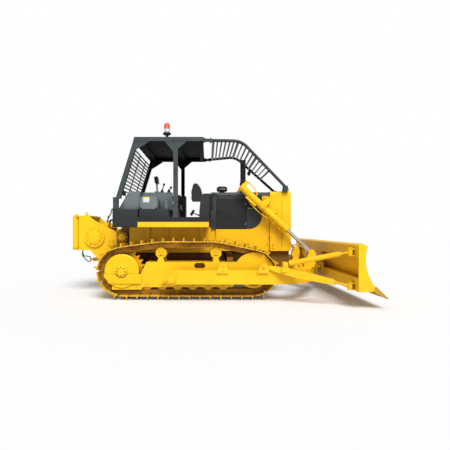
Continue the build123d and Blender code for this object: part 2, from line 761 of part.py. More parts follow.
def roof_outline(inset, low, high):
    """The roof's side view, whose rear end is in line with the rear posts."""
    back = inset - post_size / 2
    return poly((rear_post_x(low) + back, low), (roof_front - inset, low), (roof_front - inset, high),
                (rear_post_x(high) + back, high))


def canopy_frame():
    """Two pairs of posts on feet, with gussets flush with the posts' outer faces, and the roof's beams."""
    beam_z = roof_top - roof_depth
    half = post_size / 2
    shape = Part()
    for side in (-1, 1):
        y = side * post_y
        shape += post((rear_post_foot_x, y, rear_post_foot_z), (rear_post_head_x, y, beam_z), post_size)
        shape += post((middle_post_x, y, fender_top + 20), (middle_post_x, y, beam_z + 1), post_size)
        foot = rear_post_foot_x - 55
        shape += block(foot - 58, foot + 58, y - 50, y + 50, tank_shoulder, tank_shoulder + 22)
        shape += block(foot - 52, foot + 52, y - 47, y + 47, tank_shoulder, rear_post_foot_z - 20)
        shape += block(foot - 56, rear_post_foot_x + 52, y - 52, y + 52, rear_post_foot_z - 20, rear_post_foot_z + 4)
        shape += block(middle_post_x - 68, middle_post_x + 68, y - 50, y + 50, fender_top, fender_top + 22)
        shape += block(middle_post_x - 62, middle_post_x + 62, y - 50, y + 50, fender_top + 145, fender_top + 172)
        shape += block(middle_post_x - 55, middle_post_x + 55, y - 49, y + 49, fender_top, fender_top + 150)
        beam = roof_outline(roof_sheet, beam_z, roof_top - roof_sheet - seat_gap)
        shape += side_plate(beam, y - half, y + half)
        low = beam_z + 5
        outer = sorted((side * (post_y + half), side * (post_y + half - gusset_plate)))
        for corner in (((rear_post_head_x, low), (-1295, low), (-1320, low - 35), (rear_post_x(low - 230) + 10, low - 230)),
                       ((middle_post_x, low), (middle_post_x - 228, low), (middle_post_x - 25, low - 246)),
                       ((middle_post_x, low), (middle_post_x + 242, low), (middle_post_x + 25, low - 190))):
            shape += side_plate(poly(*corner), *outer)
    inner = post_y - half
    for x0, x1 in ((rear_post_head_x, rear_post_head_x + 90), (middle_post_x - 45, middle_post_x + 45),
                   (roof_front - 110, roof_front - 20)):
        shape += block(x0, x1, -inner, inner, beam_z + 10, roof_top - roof_sheet - seat_gap)
    return shape


def canopy_roof():
    """The roof plate with its turned-down rim, laid over the beams."""
    beam_z = roof_top - roof_depth
    shape = side_plate(roof_outline(0, beam_z, roof_top), -roof_half, roof_half)
    inner = roof_half - roof_sheet
    return shape - side_plate(roof_outline(roof_sheet, beam_z - 1, roof_top - roof_sheet), -inner, inner)


def rear_screen():
    """Lateral bars between the rear posts, tied by two uprights, behind a mesh."""
    shape = Part()
    low, high, count = 2270, 3130, 13
    half = post_y - post_size / 2 - seat_gap
    for number in range(count):
        z = low + number * (high - low) / (count - 1)
        x = rear_post_x(z)
        shape += block(x - 14, x + 14, -half, half, z - 9, z + 9)
    for y in (-half / 3, half / 3):
        upright = poly((rear_post_x(low) - 10, low - 8), (rear_post_x(low) + 10, low - 8),
                       (rear_post_x(high) + 10, high + 8), (rear_post_x(high) - 10, high + 8))
        shape += side_plate(upright, y - 12, y + 12)
    return shape


def sweep_route():
    """The centre line of a sweep tube as its three points."""
    return [(roof_front + 60, post_y - 35, roof_top - 48), (650, 868, 3345), sweep_foot]


def sweep_tubes():
    """Both sweep tubes with the brackets that bolt them to the canopy and the radiator guard."""
    x, y, z = sweep_foot
    left = tube(sweep_route(), [sweep_bend], sweep_radius)
    middle = roof_top - 48
    left += block(roof_front + seat_gap, roof_front + 62, post_y - 70, post_y, middle - 34, middle + 34)
    for start, across in ((roof_front + seat_gap, post_y - 35), (roof_front + 135, post_y - 72)):
        left += block(start, start + 26, across - 50, across + 50, middle - 44, middle + 44)
    lug = poly((x - 60, guard_top + seat_gap), (x + 70, guard_top + seat_gap), (x + 45, z + 25), (x - 35, z + 35))
    left += side_plate(lug, guard_half - 45, y + 25)
    return left + mirror(left, Plane.XZ)


def sweep_screen():
    """Flat lateral slats between the sweep tubes, in three bays that each begin with a wide one."""
    (x0, y0, z0), (x1, y1, z1), (x2, y2, z2) = sweep_route()
    path = FilletPolyline((x0, y0, z0), (x1, y1, z1), (x2, y2, z2), radius=sweep_bend)
    # where a bay begins and ends along the sweep, and its number of slats
    bays = ((0.073, 0.330, 6), (0.330, 0.572, 5), (0.572, 0.760, 4))
    slats = [(start + (end - start) * number / count, 30 if number else 55)
             for start, end, count in bays for number in range(count)]
    shape = Part()
    for share, thick in slats + [(bays[-1][1], 45)]:
        point = path @ share
        along = path % share
        slope = sqrt(1 - along.Y ** 2)
        half = point.Y - (sweep_radius + abs(along.Y) * thick / 2) / slope - seat_gap
        frame = Plane(origin=(point.X, 0, point.Z), x_dir=(along.X, 0, along.Z), z_dir=(-along.Z, 0, along.X))
        shape += frame * Box(thick, 2 * half, 50)
    return shape


def beacon():
    """The round warning lamp near the roof's right edge: stem, base disc and domed lens."""
    top = roof_top + beacon_height
    profile = poly((0, roof_top), (55, roof_top), (55, roof_top + 12), (30, roof_top + 20), (30, top - 250),
                   (84, top - 240), (84, top - 215), (62, top - 208), (62, top - 50), (46, top - 16), (20, top),
                   (0, top))
    return Pos(-932, 115 - roof_half, 0) * revolve(Plane.XZ * profile, Axis.Z)


# --- Push frame and blade ---

def ribbon(points, width):
    """The outline of a flat strip of constant width along a line of points."""
    left, right = [], []
    for index, (x, y) in enumerate(points):
        before = points[max(index - 1, 0)]
        after = points[min(index + 1, len(points) - 1)]
        a = Vector(x - before[0], y - before[1])
        b = Vector(after[0] - x, after[1] - y)
        a = (b if a.length == 0 else a).normalized()
        b = (a if b.length == 0 else b).normalized()
        mid = Vector(-a.Y - b.Y, a.X + b.X).normalized()
        reach = width / 2 / (mid.Y * a.X - mid.X * a.Y)
        left.append((x + mid.X * reach, y + mid.Y * reach))
        right.append((x - mid.X * reach, y - mid.Y * reach))
    return left + right[::-1]


def arm_line():
    """The centre line of the push frame from its left trunnion to its nose."""
    return [(trunnion_x, arm_y), (1250, arm_y), (1600, 1355), (1880, 1215), (2010, 1030), (nose_x - 90, 130),
            (nose_x - 60, 0)]


def arm_side(x):
    """The push frame's centre line: how far it lies from the machine's middle at x."""
    for (x0, y0), (x1, y1) in zip(arm_line(), arm_line()[1:]):
        if x0 <= x <= x1:
            return y0 + (y1 - y0) * (x - x0) / (x1 - x0)
    return arm_y


def c_frame():
    """The U-shaped push frame with its trunnion eyes, strut brackets, lift lugs and nose socket."""
    line = arm_line()
    full = line[:-1] + [(line[-1][0], 0)] + [(x, -y) for x, y in reversed(line[:-1])]
    shape = plan_plate(poly(*ribbon(full, arm_width)), arm_bottom, arm_top)
    half = arm_width / 2
    middle = (arm_bottom + arm_top) / 2
    shape += block(nose_x - 110, nose_x + 20, -130, 130, arm_bottom, arm_top + 40)
    for side in (-1, 1):
        y = side * arm_y
        shape += disc_y(trunnion_x, trunnion_z, 150, y - half, y + half)
        shape += block(trunnion_x, trunnion_x + 200, y - half, y + half, arm_bottom, arm_top)
        for x in strut_holes:
            lug = poly((x - 130, arm_top - 5), (x + 95, arm_top - 5), (x + 42, strut_z + 62), (x - 60, strut_z + 62))
            lug -= Pos(x, strut_z + 6) * Circle(pin_radius)
            seat_y = side * (arm_side(x) + strut_y - arm_y)
            reach = strut_gap + 22
            shape += block(x - 130, x + 95, seat_y - reach, seat_y + reach, arm_top - 50, arm_top + 6)
            for offset in (-reach, strut_gap):
                shape += side_plate(lug, seat_y + offset, seat_y + offset + 22)
        for offset in (-eye_half - side_gap - lift_lug, eye_half + side_gap):
            edge = side * cylinder_y + offset
            lug = poly((2010, arm_top - 5), (2250, arm_top - 5), (2290, eye_z - 20), (2250, eye_z + 78),
                       (2150, eye_z + 78))
            shape += side_plate(lug, edge, edge + lift_lug)
    for y in (-arm_y, arm_y):
        shape -= disc_y(trunnion_x, trunnion_z, trunnion_radius + pin_fit, y - half - 1, y + half + 1)
    shape -= Pos(nose_x + 20, 0, ball_z) * Sphere(ball_radius + seat_gap)
    shape -= rod((nose_x + 20, 0, ball_z), (nose_x + 200, 0, ball_z), ball_radius - 6)
    return shape


def link_bar(start, end, eye, sections):
    """A strut between two eyes: a box given by (share of the length, depth, width), on a bare screw."""
    run = Vector(*end) - Vector(*start)
    frame = Plane(origin=start, x_dir=tuple(Vector(0, 1, 0).cross(run)), z_dir=tuple(run))
    body = loft([Plane.XY.offset(share * run.length) * Rectangle(depth, width) for share, depth, width in sections],
                ruled=True)
    body += Pos(0, 0, run.length / 2) * Cylinder(0.44 * eye, run.length - 1.6 * eye)
    return frame * body


def strut():
    """The lower strut from the push frame's bracket to the blade's lower bracket."""
    rear = (strut_rear_x, strut_y, strut_z + 6)
    front = (bracket_x, bracket_y, strut_pin_z)
    sections = ((0.07, 80, 50), (0.13, 96, 56), (0.22, 130, 70), (0.45, 150, 105), (0.82, 108, 68))
    shape = link_bar(rear, front, 50, sections)
    reach = strut_gap - seat_gap
    shape += disc_y(rear[0], rear[2], 52, rear[1] - reach, rear[1] + reach)
    shape += Pos(*front) * Cylinder(50, 2 * (ear_gap - seat_gap))
    shape -= disc_y(rear[0], rear[2], pin_radius + seat_gap, rear[1] - 70, rear[1] + 70)
    shape -= Pos(*front) * Cylinder(pin_radius + seat_gap, 120)
    x, y, z = brace_foot
    shape += block(x - 75, x + 75, y - 62, y + 62, z - 150, z - 72)
    for offset in (-62, 42):
        lug = poly((x - 75, z - 150), (x + 75, z - 150), (x + 40, z + 45), (x - 40, z + 45))
        lug -= Pos(x, z) * Circle(pin_radius)
        shape += side_plate(lug, y + offset, y + offset + 20)
    return shape


def brace():
    """The upper screw brace from the strut to the blade's upper bracket."""
    front = (bracket_x, bracket_y, brace_pin_z)
    shape = rod(brace_foot, front, 20)
    run = (Vector(*front) - Vector(*brace_foot)).normalized()
    reach = (Vector(*front) - Vector(*brace_foot)).length
    ends = [tuple(Vector(*brace_foot) + run * (reach * share)) for share in (0.07, 0.84)]
    shape += rod(*ends, brace_radius)
    x, y, z = brace_foot
    shape += disc_y(x, z, 45, y - 38, y + 38)
    shape += Pos(*front) * Cylinder(50, 2 * (ear_gap - seat_gap))
    shape -= disc_y(x, z, pin_radius + seat_gap, y - 60, y + 60)
    shape -= Pos(*front) * Cylinder(pin_radius + seat_gap, 120)
    return shape


def strut_pins():
    """The pins through both ends of a strut and of its brace, with flat heads."""
    x, y, z = strut_rear_x, strut_y, strut_z + 6
    shape = disc_y(x, z, pin_radius - seat_gap, y - strut_gap - 34, y + strut_gap + 34)
    shape += disc_y(x, z, 44, y + strut_gap + 22 + seat_gap, y + strut_gap + 36)
    x, y, z = brace_foot
    foot = disc_y(x, z, pin_radius - seat_gap, y - 66, y + 66) + disc_y(x, z, 42, y + 62 + seat_gap, y + 74)
    pins = [shape, foot]
    half = ear_gap + 30
    for z in (strut_pin_z, brace_pin_z):
        pin = Pos(bracket_x, bracket_y, z) * Cylinder(pin_radius - seat_gap, 2 * half)
        pin += Pos(bracket_x, bracket_y, z + half + 4) * Cylinder(42, 12)
        pins.append(pin)
    return pins


def blade_front():
    """The moldboard's hollow front face from the top lip down to the cutting edge."""
    return ThreePointArc((2788, 1134), (2757, 850), (2923, 408))


def blade():
    """The moldboard: a curved plate with a closed top beam, a closed foot, ribs behind and end plates."""
    back = Polyline((2923, 408), (2905, 330), (blade_back + 60, blade_bottom), (blade_back, blade_bottom + 6),
                    (blade_back, 1150), (2654, 1172), (2706, 1186), (2788, 1134))
    outline = make_face([blade_front()] + list(back.edges()))
    half = blade_width / 2
    shape = side_plate(outline, -half, half)
    pocket = poly((blade_back - 10, 560), (2790, 560), (2745, 700), (2737, 850), (2741, 930),
                  (blade_back - 10, 930))
    bays = 2
    rib = 24
    first = -half + 30
    width = (blade_width - 60 - (bays - 1) * rib) / bays
    for bay in range(bays):
        y = first + bay * (width + rib)
        shape -= side_plate(pocket, y, y + width)
    for side in (-1, 1):
        for pin_z in (strut_pin_z, brace_pin_z):
            ear = Pos(bracket_x, side * bracket_y) * Circle(52) + Pos((bracket_x + blade_back) / 2 + 3, side * bracket_y) \
                * Rectangle(blade_back - bracket_x + 6, 130)
            ear -= Pos(bracket_x, side * bracket_y) * Circle(pin_radius)
            for z0 in (pin_z - ear_gap - 24, pin_z + ear_gap):
                shape += plan_plate(ear, z0, z0 + 24)
    shape += rod((nose_x + 20, 0, ball_z), (blade_back + 5, 0, ball_z), 48)
    shape += Pos(nose_x + 20, 0, ball_z) * Sphere(ball_radius)
    shape += block(blade_back - 30, blade_back + 5, -170, 170, 420, 660)
    return shape


def cutting_edge():
    """The bolted cutting edge in a row of plates, with deeper end bits."""
    half = blade_width / 2
    edge = poly((2905 + seat_gap, 330), (2923 + seat_gap, 408), (2941, 396), (3161, 190), (3151, 181), (2925, 330))
    plates = 5
    bit = 330
    shape = []
    width = (blade_width - 2 * bit) / plates
    for number in range(plates):
        y = -half + bit + number * width
        shape.append(side_plate(edge, y + 1, y + width - 1))
    corner = poly((2905 + seat_gap, 330), (2923 + seat_gap, 408), (2953, 405), (3161, 200), (3161, 184), (3060, 232),
                  (2915, 300))
    for y in (-half, half - bit):
        shape.append(side_plate(corner, y, y + bit - 1))
    return shape


# --- Lift cylinders ---

def cylinder_frame():
    """A plane at the yoke's axis whose z runs down the rod towards its eye."""
    return Plane(origin=(yoke_x, cylinder_y, yoke_z), x_dir=(0, 1, 0), z_dir=(eye_x - yoke_x, 0, eye_z - yoke_z))


def lift_barrel():
    """The cylinder's tube with its cap, gland, trunnions and the valve block along its lower side."""
    shape = Pos(0, 0, (barrel_ahead - barrel_behind) / 2) * Cylinder(barrel_radius, barrel_ahead + barrel_behind)
    shape += Pos(0, 0, 36 - barrel_behind) * Cylinder(barrel_radius + 18, 72)
    shape += Pos(0, barrel_radius + 45, 40 - barrel_behind) * Box(84, 110, 80)
    shape += Pos(0, 0, barrel_ahead - 45) * Cylinder(barrel_radius + 9, 90)
    shape += Rot(90, 0, 0) * Rot(0, 90, 0) * Cylinder(trunnion_stub, 2 * (barrel_radius + 30))
    shape += Cylinder(barrel_radius + 8, 120)
    valve_block = Pos(0, -92, -255) * Box(70, 44, 290)
    shape += valve_block
    bore = barrel_ahead + barrel_behind - 60
    shape -= Pos(0, 0, barrel_ahead - bore / 2 + 1) * Cylinder(rod_radius + pin_fit, bore + 2)
    return cylinder_frame() * shape


def lift_rod():
    """The chromed rod and its eye, which sits between the push frame's lugs."""
    reach = hypot(eye_x - yoke_x, eye_z - yoke_z)
    shape = Pos(0, 0, reach - 40 - rod_length / 2) * Cylinder(rod_radius, rod_length)
    shape += Pos(0, 0, reach) * Rot(0, 90, 0) * Cylinder(eye_radius, 2 * eye_half)
    return cylinder_frame() * shape


def cylinder_yoke():
    """The forked bracket on the radiator guard that holds a lift cylinder by its trunnions."""
    inner0, inner1 = guard_half + seat_gap, cylinder_y - barrel_radius - 13
    outer0, outer1 = cylinder_y + barrel_radius + 13, cylinder_y + barrel_radius + 43
    inner = poly((yoke_x - 55, yoke_z - 55), (yoke_x + 40, yoke_z - 75), (guard_rear + 130, yoke_z - 160),
                 (guard_rear + 130, yoke_z + 250), (yoke_x + 130, yoke_z + 190), (yoke_x - 40, yoke_z + 70))
    outer = poly((yoke_x - 55, yoke_z - 55), (yoke_x + 40, yoke_z - 75), (yoke_x + 120, yoke_z + 40),
                 (yoke_x + 200, yoke_z + 160), (yoke_x + 130, yoke_z + 190), (yoke_x - 40, yoke_z + 70))
    shape = side_plate(inner, inner0, inner1) + side_plate(outer, outer0, outer1)
    bridge = poly((yoke_x + 90, yoke_z + 90), (yoke_x + 150, yoke_z + 72), (yoke_x + 195, yoke_z + 160),
                  (yoke_x + 128, yoke_z + 186))
    shape += side_plate(bridge, inner1 - 1, outer0 + 1)
    shape -= disc_y(yoke_x, yoke_z, trunnion_stub + pin_fit, inner0 - 1, outer1 + 1)
    return shape


# --- Winch ---

def winch_housing():
    """Two side plates round the drum with bearing bosses, a floor and a front plate on the rear case."""
    side = poly((fairlead_front, fairlead_top - 25), (-2600, 1612), (-2235, 1430), (rear_case_x, 1380),
                (rear_case_x, winch_bottom), (-2577, winch_bottom), (fairlead_front, fairlead_bottom))
    shape = Part()
    for edge in (-winch_half, winch_half - winch_plate):
        shape += side_plate(side, edge, edge + winch_plate)
    for edge, out in ((-winch_half - 45, -winch_half), (winch_half, winch_half + 45)):
        shape += disc_y(drum_x, drum_z, 228, min(edge, out), max(edge, out))
    shape += block(rear_case_x - 40, rear_case_x, -winch_half, winch_half, winch_bottom, 1380)
    shape += block(-2577, rear_case_x, -winch_half, winch_half, winch_bottom, winch_bottom + 40)
    shape -= disc_y(drum_x, drum_z, 60 + pin_fit, -winch_half + 10, winch_half - 10)
    return shape


def winch_drum():
    """The drum with its flanges, its layers of rope and its shaft."""
    shape = disc_y(drum_x, drum_z, drum_radius, -drum_half, drum_half)
    for edge in (-drum_half, drum_half - 25):
        shape += disc_y(drum_x, drum_z, drum_flange, edge, edge + 25)
    shape += disc_y(drum_x, drum_z, 60, -winch_half + 12, winch_half - 12)
    turns = 12
    pitch = (2 * drum_half - 50) / turns
    for number in range(turns):
        y = -drum_half + 25 + (number + 0.5) * pitch
        shape += turned_y(drum_x, y, drum_z, (drum_radius - 5, -pitch / 2), (drum_radius + 40, -pitch / 2),
                          (drum_radius + 54, 0), (drum_radius + 40, pitch / 2), (drum_radius - 5, pitch / 2))
    return shape


def fairlead_frame():
    """The box behind the drum: side walls, and top and bottom plates that hold the rollers' ends."""
    rear_plate = fairlead_roller_x - fairlead_roller_radius
    shape = Part()
    edge = winch_half
    for y0, y1 in ((-edge, -edge + fairlead_plate), (edge - fairlead_plate, edge)):
        shape += block(fairlead_rear, fairlead_front, y0, y1, fairlead_bottom, fairlead_top)
    for z0, z1 in ((fairlead_bottom, fairlead_bottom + 36), (fairlead_top - 24 + seat_gap, fairlead_top + 10)):
        shape += block(fairlead_rear, fairlead_front, -edge, edge, z0, z1)
        for side in (-1, 1):
            y = side * fairlead_roller_y
            ear = Pos(fairlead_roller_x, y) * Circle(fairlead_roller_radius)
            ear += poly((fairlead_roller_x, y - 80), (fairlead_rear + 5, y - 120), (fairlead_rear + 5, y + 125),
                        (fairlead_roller_x, y + 80))
            shape += plan_plate(ear, z0, z1)
    for side in (-1, 1):
        place = Pos(fairlead_roller_x, side * fairlead_roller_y)
        shape -= place * Pos(0, 0, fairlead_bottom) * Cylinder(30 + pin_fit, 200)
        shape -= place * Pos(0, 0, fairlead_top) * Cylinder(30 + pin_fit, 200)
    shape -= block(fairlead_rear - 10, fairlead_rear + 40, -220, 220, fairlead_bottom - 10, fairlead_bottom + 50)
    shape -= disc_y(cross_roller_x, cross_roller_z, 30 + pin_fit, -edge + 15, edge - 15)
    eye = Rectangle(70, 70) + Pos(0, 35) * Circle(35)
    eye -= Pos(0, 37) * Circle(18)
    return shape + side_plate(Pos(fairlead_rear + 40, fairlead_top + 40) * eye, -12, 12)


def fairlead_roller():
    """An upright roller of the fairlead with a journal at each end."""
    low, high = fairlead_bottom + 36 + side_gap, fairlead_top - 24 - side_gap
    r = fairlead_roller_radius
    profile = poly((0, fairlead_bottom + 4), (30, fairlead_bottom + 4), (30, low), (r - 8, low), (r, low + 10),
                   (r, high - 10), (r - 8, high), (30, high), (30, fairlead_top - 6), (0, fairlead_top - 6))
    return Pos(fairlead_roller_x, fairlead_roller_y, 0) * revolve(Plane.XZ * profile, Axis.Z)


def fairlead_cross_roller():
    """The level roller at the foot of the fairlead, over which the rope runs."""
    reach = winch_half - fairlead_plate
    return turned_y(cross_roller_x, 0, cross_roller_z, (0, -reach - 20), (30, -reach - 20), (30, -reach + side_gap),
                    (60, -reach + side_gap), (60, reach - side_gap), (30, reach - side_gap), (30, reach + 20),
                    (0, reach + 20))


def drawbar():
    """The towing bar under the winch: a plate with a pin hole, and an upright lug at its end."""
    outline = Pos(-2430, 0) * Rectangle(560, 220)
    outline = outline + poly((-2700, -110), (-2700, 110), (-2760, 40), (-2760, -40))
    shape = plan_plate(outline, winch_bottom - 60, winch_bottom - seat_gap)
    shape -= Pos(-2610, 0, winch_bottom) * Cylinder(30, 200)
    lug = poly((-2700, winch_bottom - 90), (-2700, winch_bottom - seat_gap), (tie_x, winch_bottom - 10))
    lug += Pos(tie_x, tie_z) * Circle(44)
    lug += poly((-2700, tie_z - 38), (-2700, winch_bottom - seat_gap), (tie_x + 5, tie_z + 44), (tie_x + 5, tie_z - 43))
    lug -= Pos(tie_x, tie_z) * Circle(16)
    return shape + side_plate(lug, -15, 15)


def shackle():
    """The bow shackle on the drawbar's lug that keeps the rope's eye."""
    bow = tube([(tie_x, -42, tie_z), (tie_x - 62, -42, tie_z), (tie_x - 122, 0, tie_z), (tie_x - 62, 42, tie_z),
                (tie_x, 42, tie_z)], [30, 30, 30], 12)
    pin = disc_y(tie_x, tie_z, 16 - seat_gap, -58, 58)
    ears = disc_y(tie_x, tie_z, 27, -56, -28) + disc_y(tie_x, tie_z, 27, 28, 56)
    return bow + pin + ears


def rope_radii(points, share=0.45):
    """For each corner, an arc as large as its two runs allow."""
    radii = []
    for before, here, after in zip(points, points[1:], points[2:]):
        a = Vector(*here) - Vector(*before)
        b = Vector(*after) - Vector(*here)
        half_turn = radians(a.get_angle(b)) / 2
        radii.append(share * min(a.length, b.length) / sin(half_turn) * cos(half_turn))
    return radii


def winch_rope():
    """The rope's tail: off the drum, over the cross roller, down to a ferrule and an eye in the shackle."""
    tail = [(-2840, 0, 1388), (-2996, 0, 1130), (-3048, 0, 985), (-3078, 0, 895), (-3056, 0, 810)]
    eye = [(-3056, 0, 815), (-2990, 0, 806), (-2895, 0, 800), (-2866, 0, 750), (-2866, 0, 705), (-2905, 0, 672),
           (-2985, 0, 700), (-3050, 0, 800)]
    radii = rope_radii(tail)
    print("winch rope radii", [round(radius) for radius in radii])
    shape = tube(tail, radii, rope_radius)
    shape += tube(eye, rope_radii(eye), rope_radius - 2)
    return shape + rod((-3076, 0, 880), (-3050, 0, 785), 23)


for name, piece in (("track", track), ("engine_door", engine_door), ("lift_barrel", lift_barrel),
                    ("lift_rod", lift_rod), ("fairlead_roller", fairlead_roller)):
    save_sides(name, piece())

for name, pieces in (("sprockets", [sprocket()]), ("idlers", [idler()]), ("track_frames", [track_frame()]),
                     ("bottom_rollers", bottom_rollers()), ("carrier_rollers", carrier_rollers()),
                     ("final_drives", [final_drive()]), ("pivot_shafts", [pivot_shaft()]),
                     ("engine_bay_sides", [engine_bay_side()]), ("fenders", [fender()]), ("struts", [strut()]),
                     ("braces", [brace()]), ("strut_pins", strut_pins()), ("cylinder_yokes", [cylinder_yoke()])):
    save_set(name, pieces)

for name, piece in (("main_frame", main_frame), ("rear_case", rear_case), ("equalizer_bar", equalizer_bar),
                    ("engine_block", engine_block), ("radiator_guard", radiator_guard), ("front_grille", front_grille),
                    ("radiator_core", radiator_core), ("engine_hood", engine_hood), ("exhaust_stack", exhaust_stack),
                    ("air_precleaner", air_precleaner), ("operator_deck", operator_deck), ("fuel_tank", fuel_tank),
                    ("hydraulic_tank", hydraulic_tank), ("battery_box", battery_box), ("dash_cowl", dash_cowl),
                    ("instrument_panel", instrument_panel), ("seat_frame", seat_frame), ("seat_cushion", seat_cushion),
                    ("seat_back", seat_back), ("headrest", headrest), ("canopy_frame", canopy_frame),
                    ("canopy_roof", canopy_roof), ("rear_screen", rear_screen), ("sweep_tubes", sweep_tubes),
                    ("sweep_screen", sweep_screen), ("beacon", beacon), ("c_frame", c_frame), ("blade", blade),
                    ("winch_housing", winch_housing), ("winch_drum", winch_drum),
                    ("fairlead_frame", fairlead_frame), ("fairlead_cross_roller", fairlead_cross_roller),
                    ("winch_rope", winch_rope)):
    save(name, piece())

for name, pieces in (("cutting_edge", cutting_edge()), ("drawbar", [drawbar(), shackle()]),
                     ("controls", controls())):
    save(name, Compound(children=pieces))
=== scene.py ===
# %% [markdown]
# # Dressing a crawler dozer
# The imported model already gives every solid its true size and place. This lesson adds what makes it
# look used and real: paint with worn edges and dust, chain links and bolts, hoses and pipes, a stuffed
# seat, wire rope and lamps. Everything is in metres: +X is forward, +Y is the machine's left, +Z is up,
# and the ground is Z = 0.

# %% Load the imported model
from math import cos, pi, radians, sin, tau

import bmesh
import bpy
from mathutils import Matrix, Vector, geometry
from mathutils.bvhtree import BVHTree


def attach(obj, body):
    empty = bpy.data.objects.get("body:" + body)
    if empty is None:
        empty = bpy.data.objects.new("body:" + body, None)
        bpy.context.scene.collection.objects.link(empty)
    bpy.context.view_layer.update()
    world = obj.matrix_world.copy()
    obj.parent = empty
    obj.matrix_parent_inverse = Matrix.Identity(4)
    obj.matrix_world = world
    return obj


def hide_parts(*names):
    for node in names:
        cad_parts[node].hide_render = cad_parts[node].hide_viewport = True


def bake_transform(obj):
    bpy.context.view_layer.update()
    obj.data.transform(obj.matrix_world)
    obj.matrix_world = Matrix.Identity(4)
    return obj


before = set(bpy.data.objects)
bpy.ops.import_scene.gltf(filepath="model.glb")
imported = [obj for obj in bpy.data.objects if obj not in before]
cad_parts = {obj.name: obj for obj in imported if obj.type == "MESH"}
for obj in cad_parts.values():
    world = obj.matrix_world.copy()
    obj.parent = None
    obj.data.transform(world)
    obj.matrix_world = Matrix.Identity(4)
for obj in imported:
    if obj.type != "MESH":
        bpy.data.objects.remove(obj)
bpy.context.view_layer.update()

# %% [markdown]
# ## The studio
# A side view of a long machine hides nothing when the camera stands level with the hood, a few metres
# away. The camera stays level, so upright posts stay upright, and its shift alone frames the machine.

# %% Camera
eye_height = 1.43
eye_distance = 8.64
eye_x = -0.07

camera = bpy.data.objects.new("side_camera", bpy.data.cameras.new("side_camera"))
bpy.context.scene.collection.objects.link(camera)
camera.data.sensor_width = 36.0
camera.data.lens = 28.88
camera.data.shift_x = 0.0378
camera.data.shift_y = 0.0111
camera.location = (eye_x, -eye_distance, eye_height)
camera.rotation_euler = (radians(90), 0, 0)
bpy.context.scene.camera = camera
bpy.context.scene.view_settings.view_transform = "Standard"
print("camera at", tuple(round(v, 2) for v in camera.location))

# %% [markdown]
# ## A short way to write node graphs
# Every material and every geometry tree below is a handful of nodes and links. One helper adds a node,
# sets its properties and fills its sockets with a value or with another node's output, so that a graph
# reads from top to bottom like ordinary sums.


# %% Node helpers
def node(tree, kind, sockets=None, **settings):
    """Adds a node; each socket gets a value or another node's output."""
    made = tree.nodes.new(kind)
    for key, value in settings.items():
        setattr(made, key, value)
    for key, value in (sockets or {}).items():
        if isinstance(value, bpy.types.NodeSocket):
            tree.links.new(value, made.inputs[key])
        else:
            made.inputs[key].default_value = value
    return made


def sums(tree, operation, first, second=0.0, clamp=False):
    """One arithmetic step."""
    return node(tree, "ShaderNodeMath", {0: first, 1: second}, operation=operation,
                use_clamp=clamp).outputs[0]


def times(tree, first, second, clamp=False):
    """One product."""
    return sums(tree, "MULTIPLY", first, second, clamp)


def along_axis(tree, vector, axis):
    """One of a vector's three numbers."""
    return node(tree, "ShaderNodeSeparateXYZ", {0: vector}).outputs[axis]


def fade(tree, value, start, end):
    """0 at start, 1 at end, with soft ends."""
    sockets = {"Value": value, "From Min": start, "From Max": end}
    return node(tree, "ShaderNodeMapRange", sockets, interpolation_type="SMOOTHSTEP").outputs[0]


def cloudy(tree, place, scale, detail=3.0, roughness=0.55):
    """Soft random values from 0 to 1."""
    sockets = {"Vector": place, "Scale": scale, "Detail": detail, "Roughness": roughness}
    return node(tree, "ShaderNodeTexNoise", sockets).outputs[0]


def mixed(tree, share, first, second):
    """Two colours blended by a share."""
    return node(tree, "ShaderNodeMix", {0: share, 6: first, 7: second}, data_type="RGBA").outputs[2]


def stretched(tree, place, scale):
    """Coordinates stretched by a factor along each axis."""
    return node(tree, "ShaderNodeMapping", {"Vector": place, "Scale": scale}).outputs[0]


def at_object(tree):
    """The place of a shaded point in the object's own metres."""
    return node(tree, "ShaderNodeTexCoord").outputs["Object"]


def face_normal(tree):
    """The way a shaded point looks."""
    return node(tree, "ShaderNodeNewGeometry").outputs["Normal"]


def new_tree(name, kind, given, made):
    """A node group with named inputs and outputs: the tree and its input and output nodes."""
    tree = bpy.data.node_groups.new(name, kind)
    for label, socket, value in given:
        made_socket = tree.interface.new_socket(label, in_out="INPUT", socket_type="NodeSocket" + socket)
        if value is not None:
            made_socket.default_value = value
    for label, socket in made:
        tree.interface.new_socket(label, in_out="OUTPUT", socket_type="NodeSocket" + socket)
    return tree, tree.nodes.new("NodeGroupInput").outputs, tree.nodes.new("NodeGroupOutput").inputs


# %% [markdown]
# ## The world, the sun and the floor
# The sky lights the machine at a plain level, but rays that come straight from the camera see pure white,
# and a mirror sees some of it. A wide soft sun from the camera's side, high and a little ahead, gives the
# shapes their shade. The floor is pale, keeps the shadow and gives the camera a little more white.


# %% Sky, sun and floor
def seen_directly(tree):
    """1 for rays from the camera or through glass, less for a mirror, which would veil the paint."""
    path = node(tree, "ShaderNodeLightPath").outputs
    straight = sums(tree, "MAXIMUM", path["Is Camera Ray"], path["Is Transmission Ray"])
    return sums(tree, "MAXIMUM", straight, times(tree, path["Is Glossy Ray"], 0.35))


def make_sky():
    """Even light, and white where it is seen directly."""
    world = bpy.data.worlds.new("pale_studio")
    world.use_nodes = True
    tree = world.node_tree
    tree.nodes.clear()
    light = node(tree, "ShaderNodeBackground", {"Color": (0.95, 0.97, 1.0, 1), "Strength": 0.42})
    white = node(tree, "ShaderNodeBackground", {"Color": (1, 1, 1, 1), "Strength": 1.0})
    shares = {0: seen_directly(tree), 1: light.outputs[0], 2: white.outputs[0]}
    both = node(tree, "ShaderNodeMixShader", shares)
    node(tree, "ShaderNodeOutputWorld", {"Surface": both.outputs[0]})
    bpy.context.scene.world = world


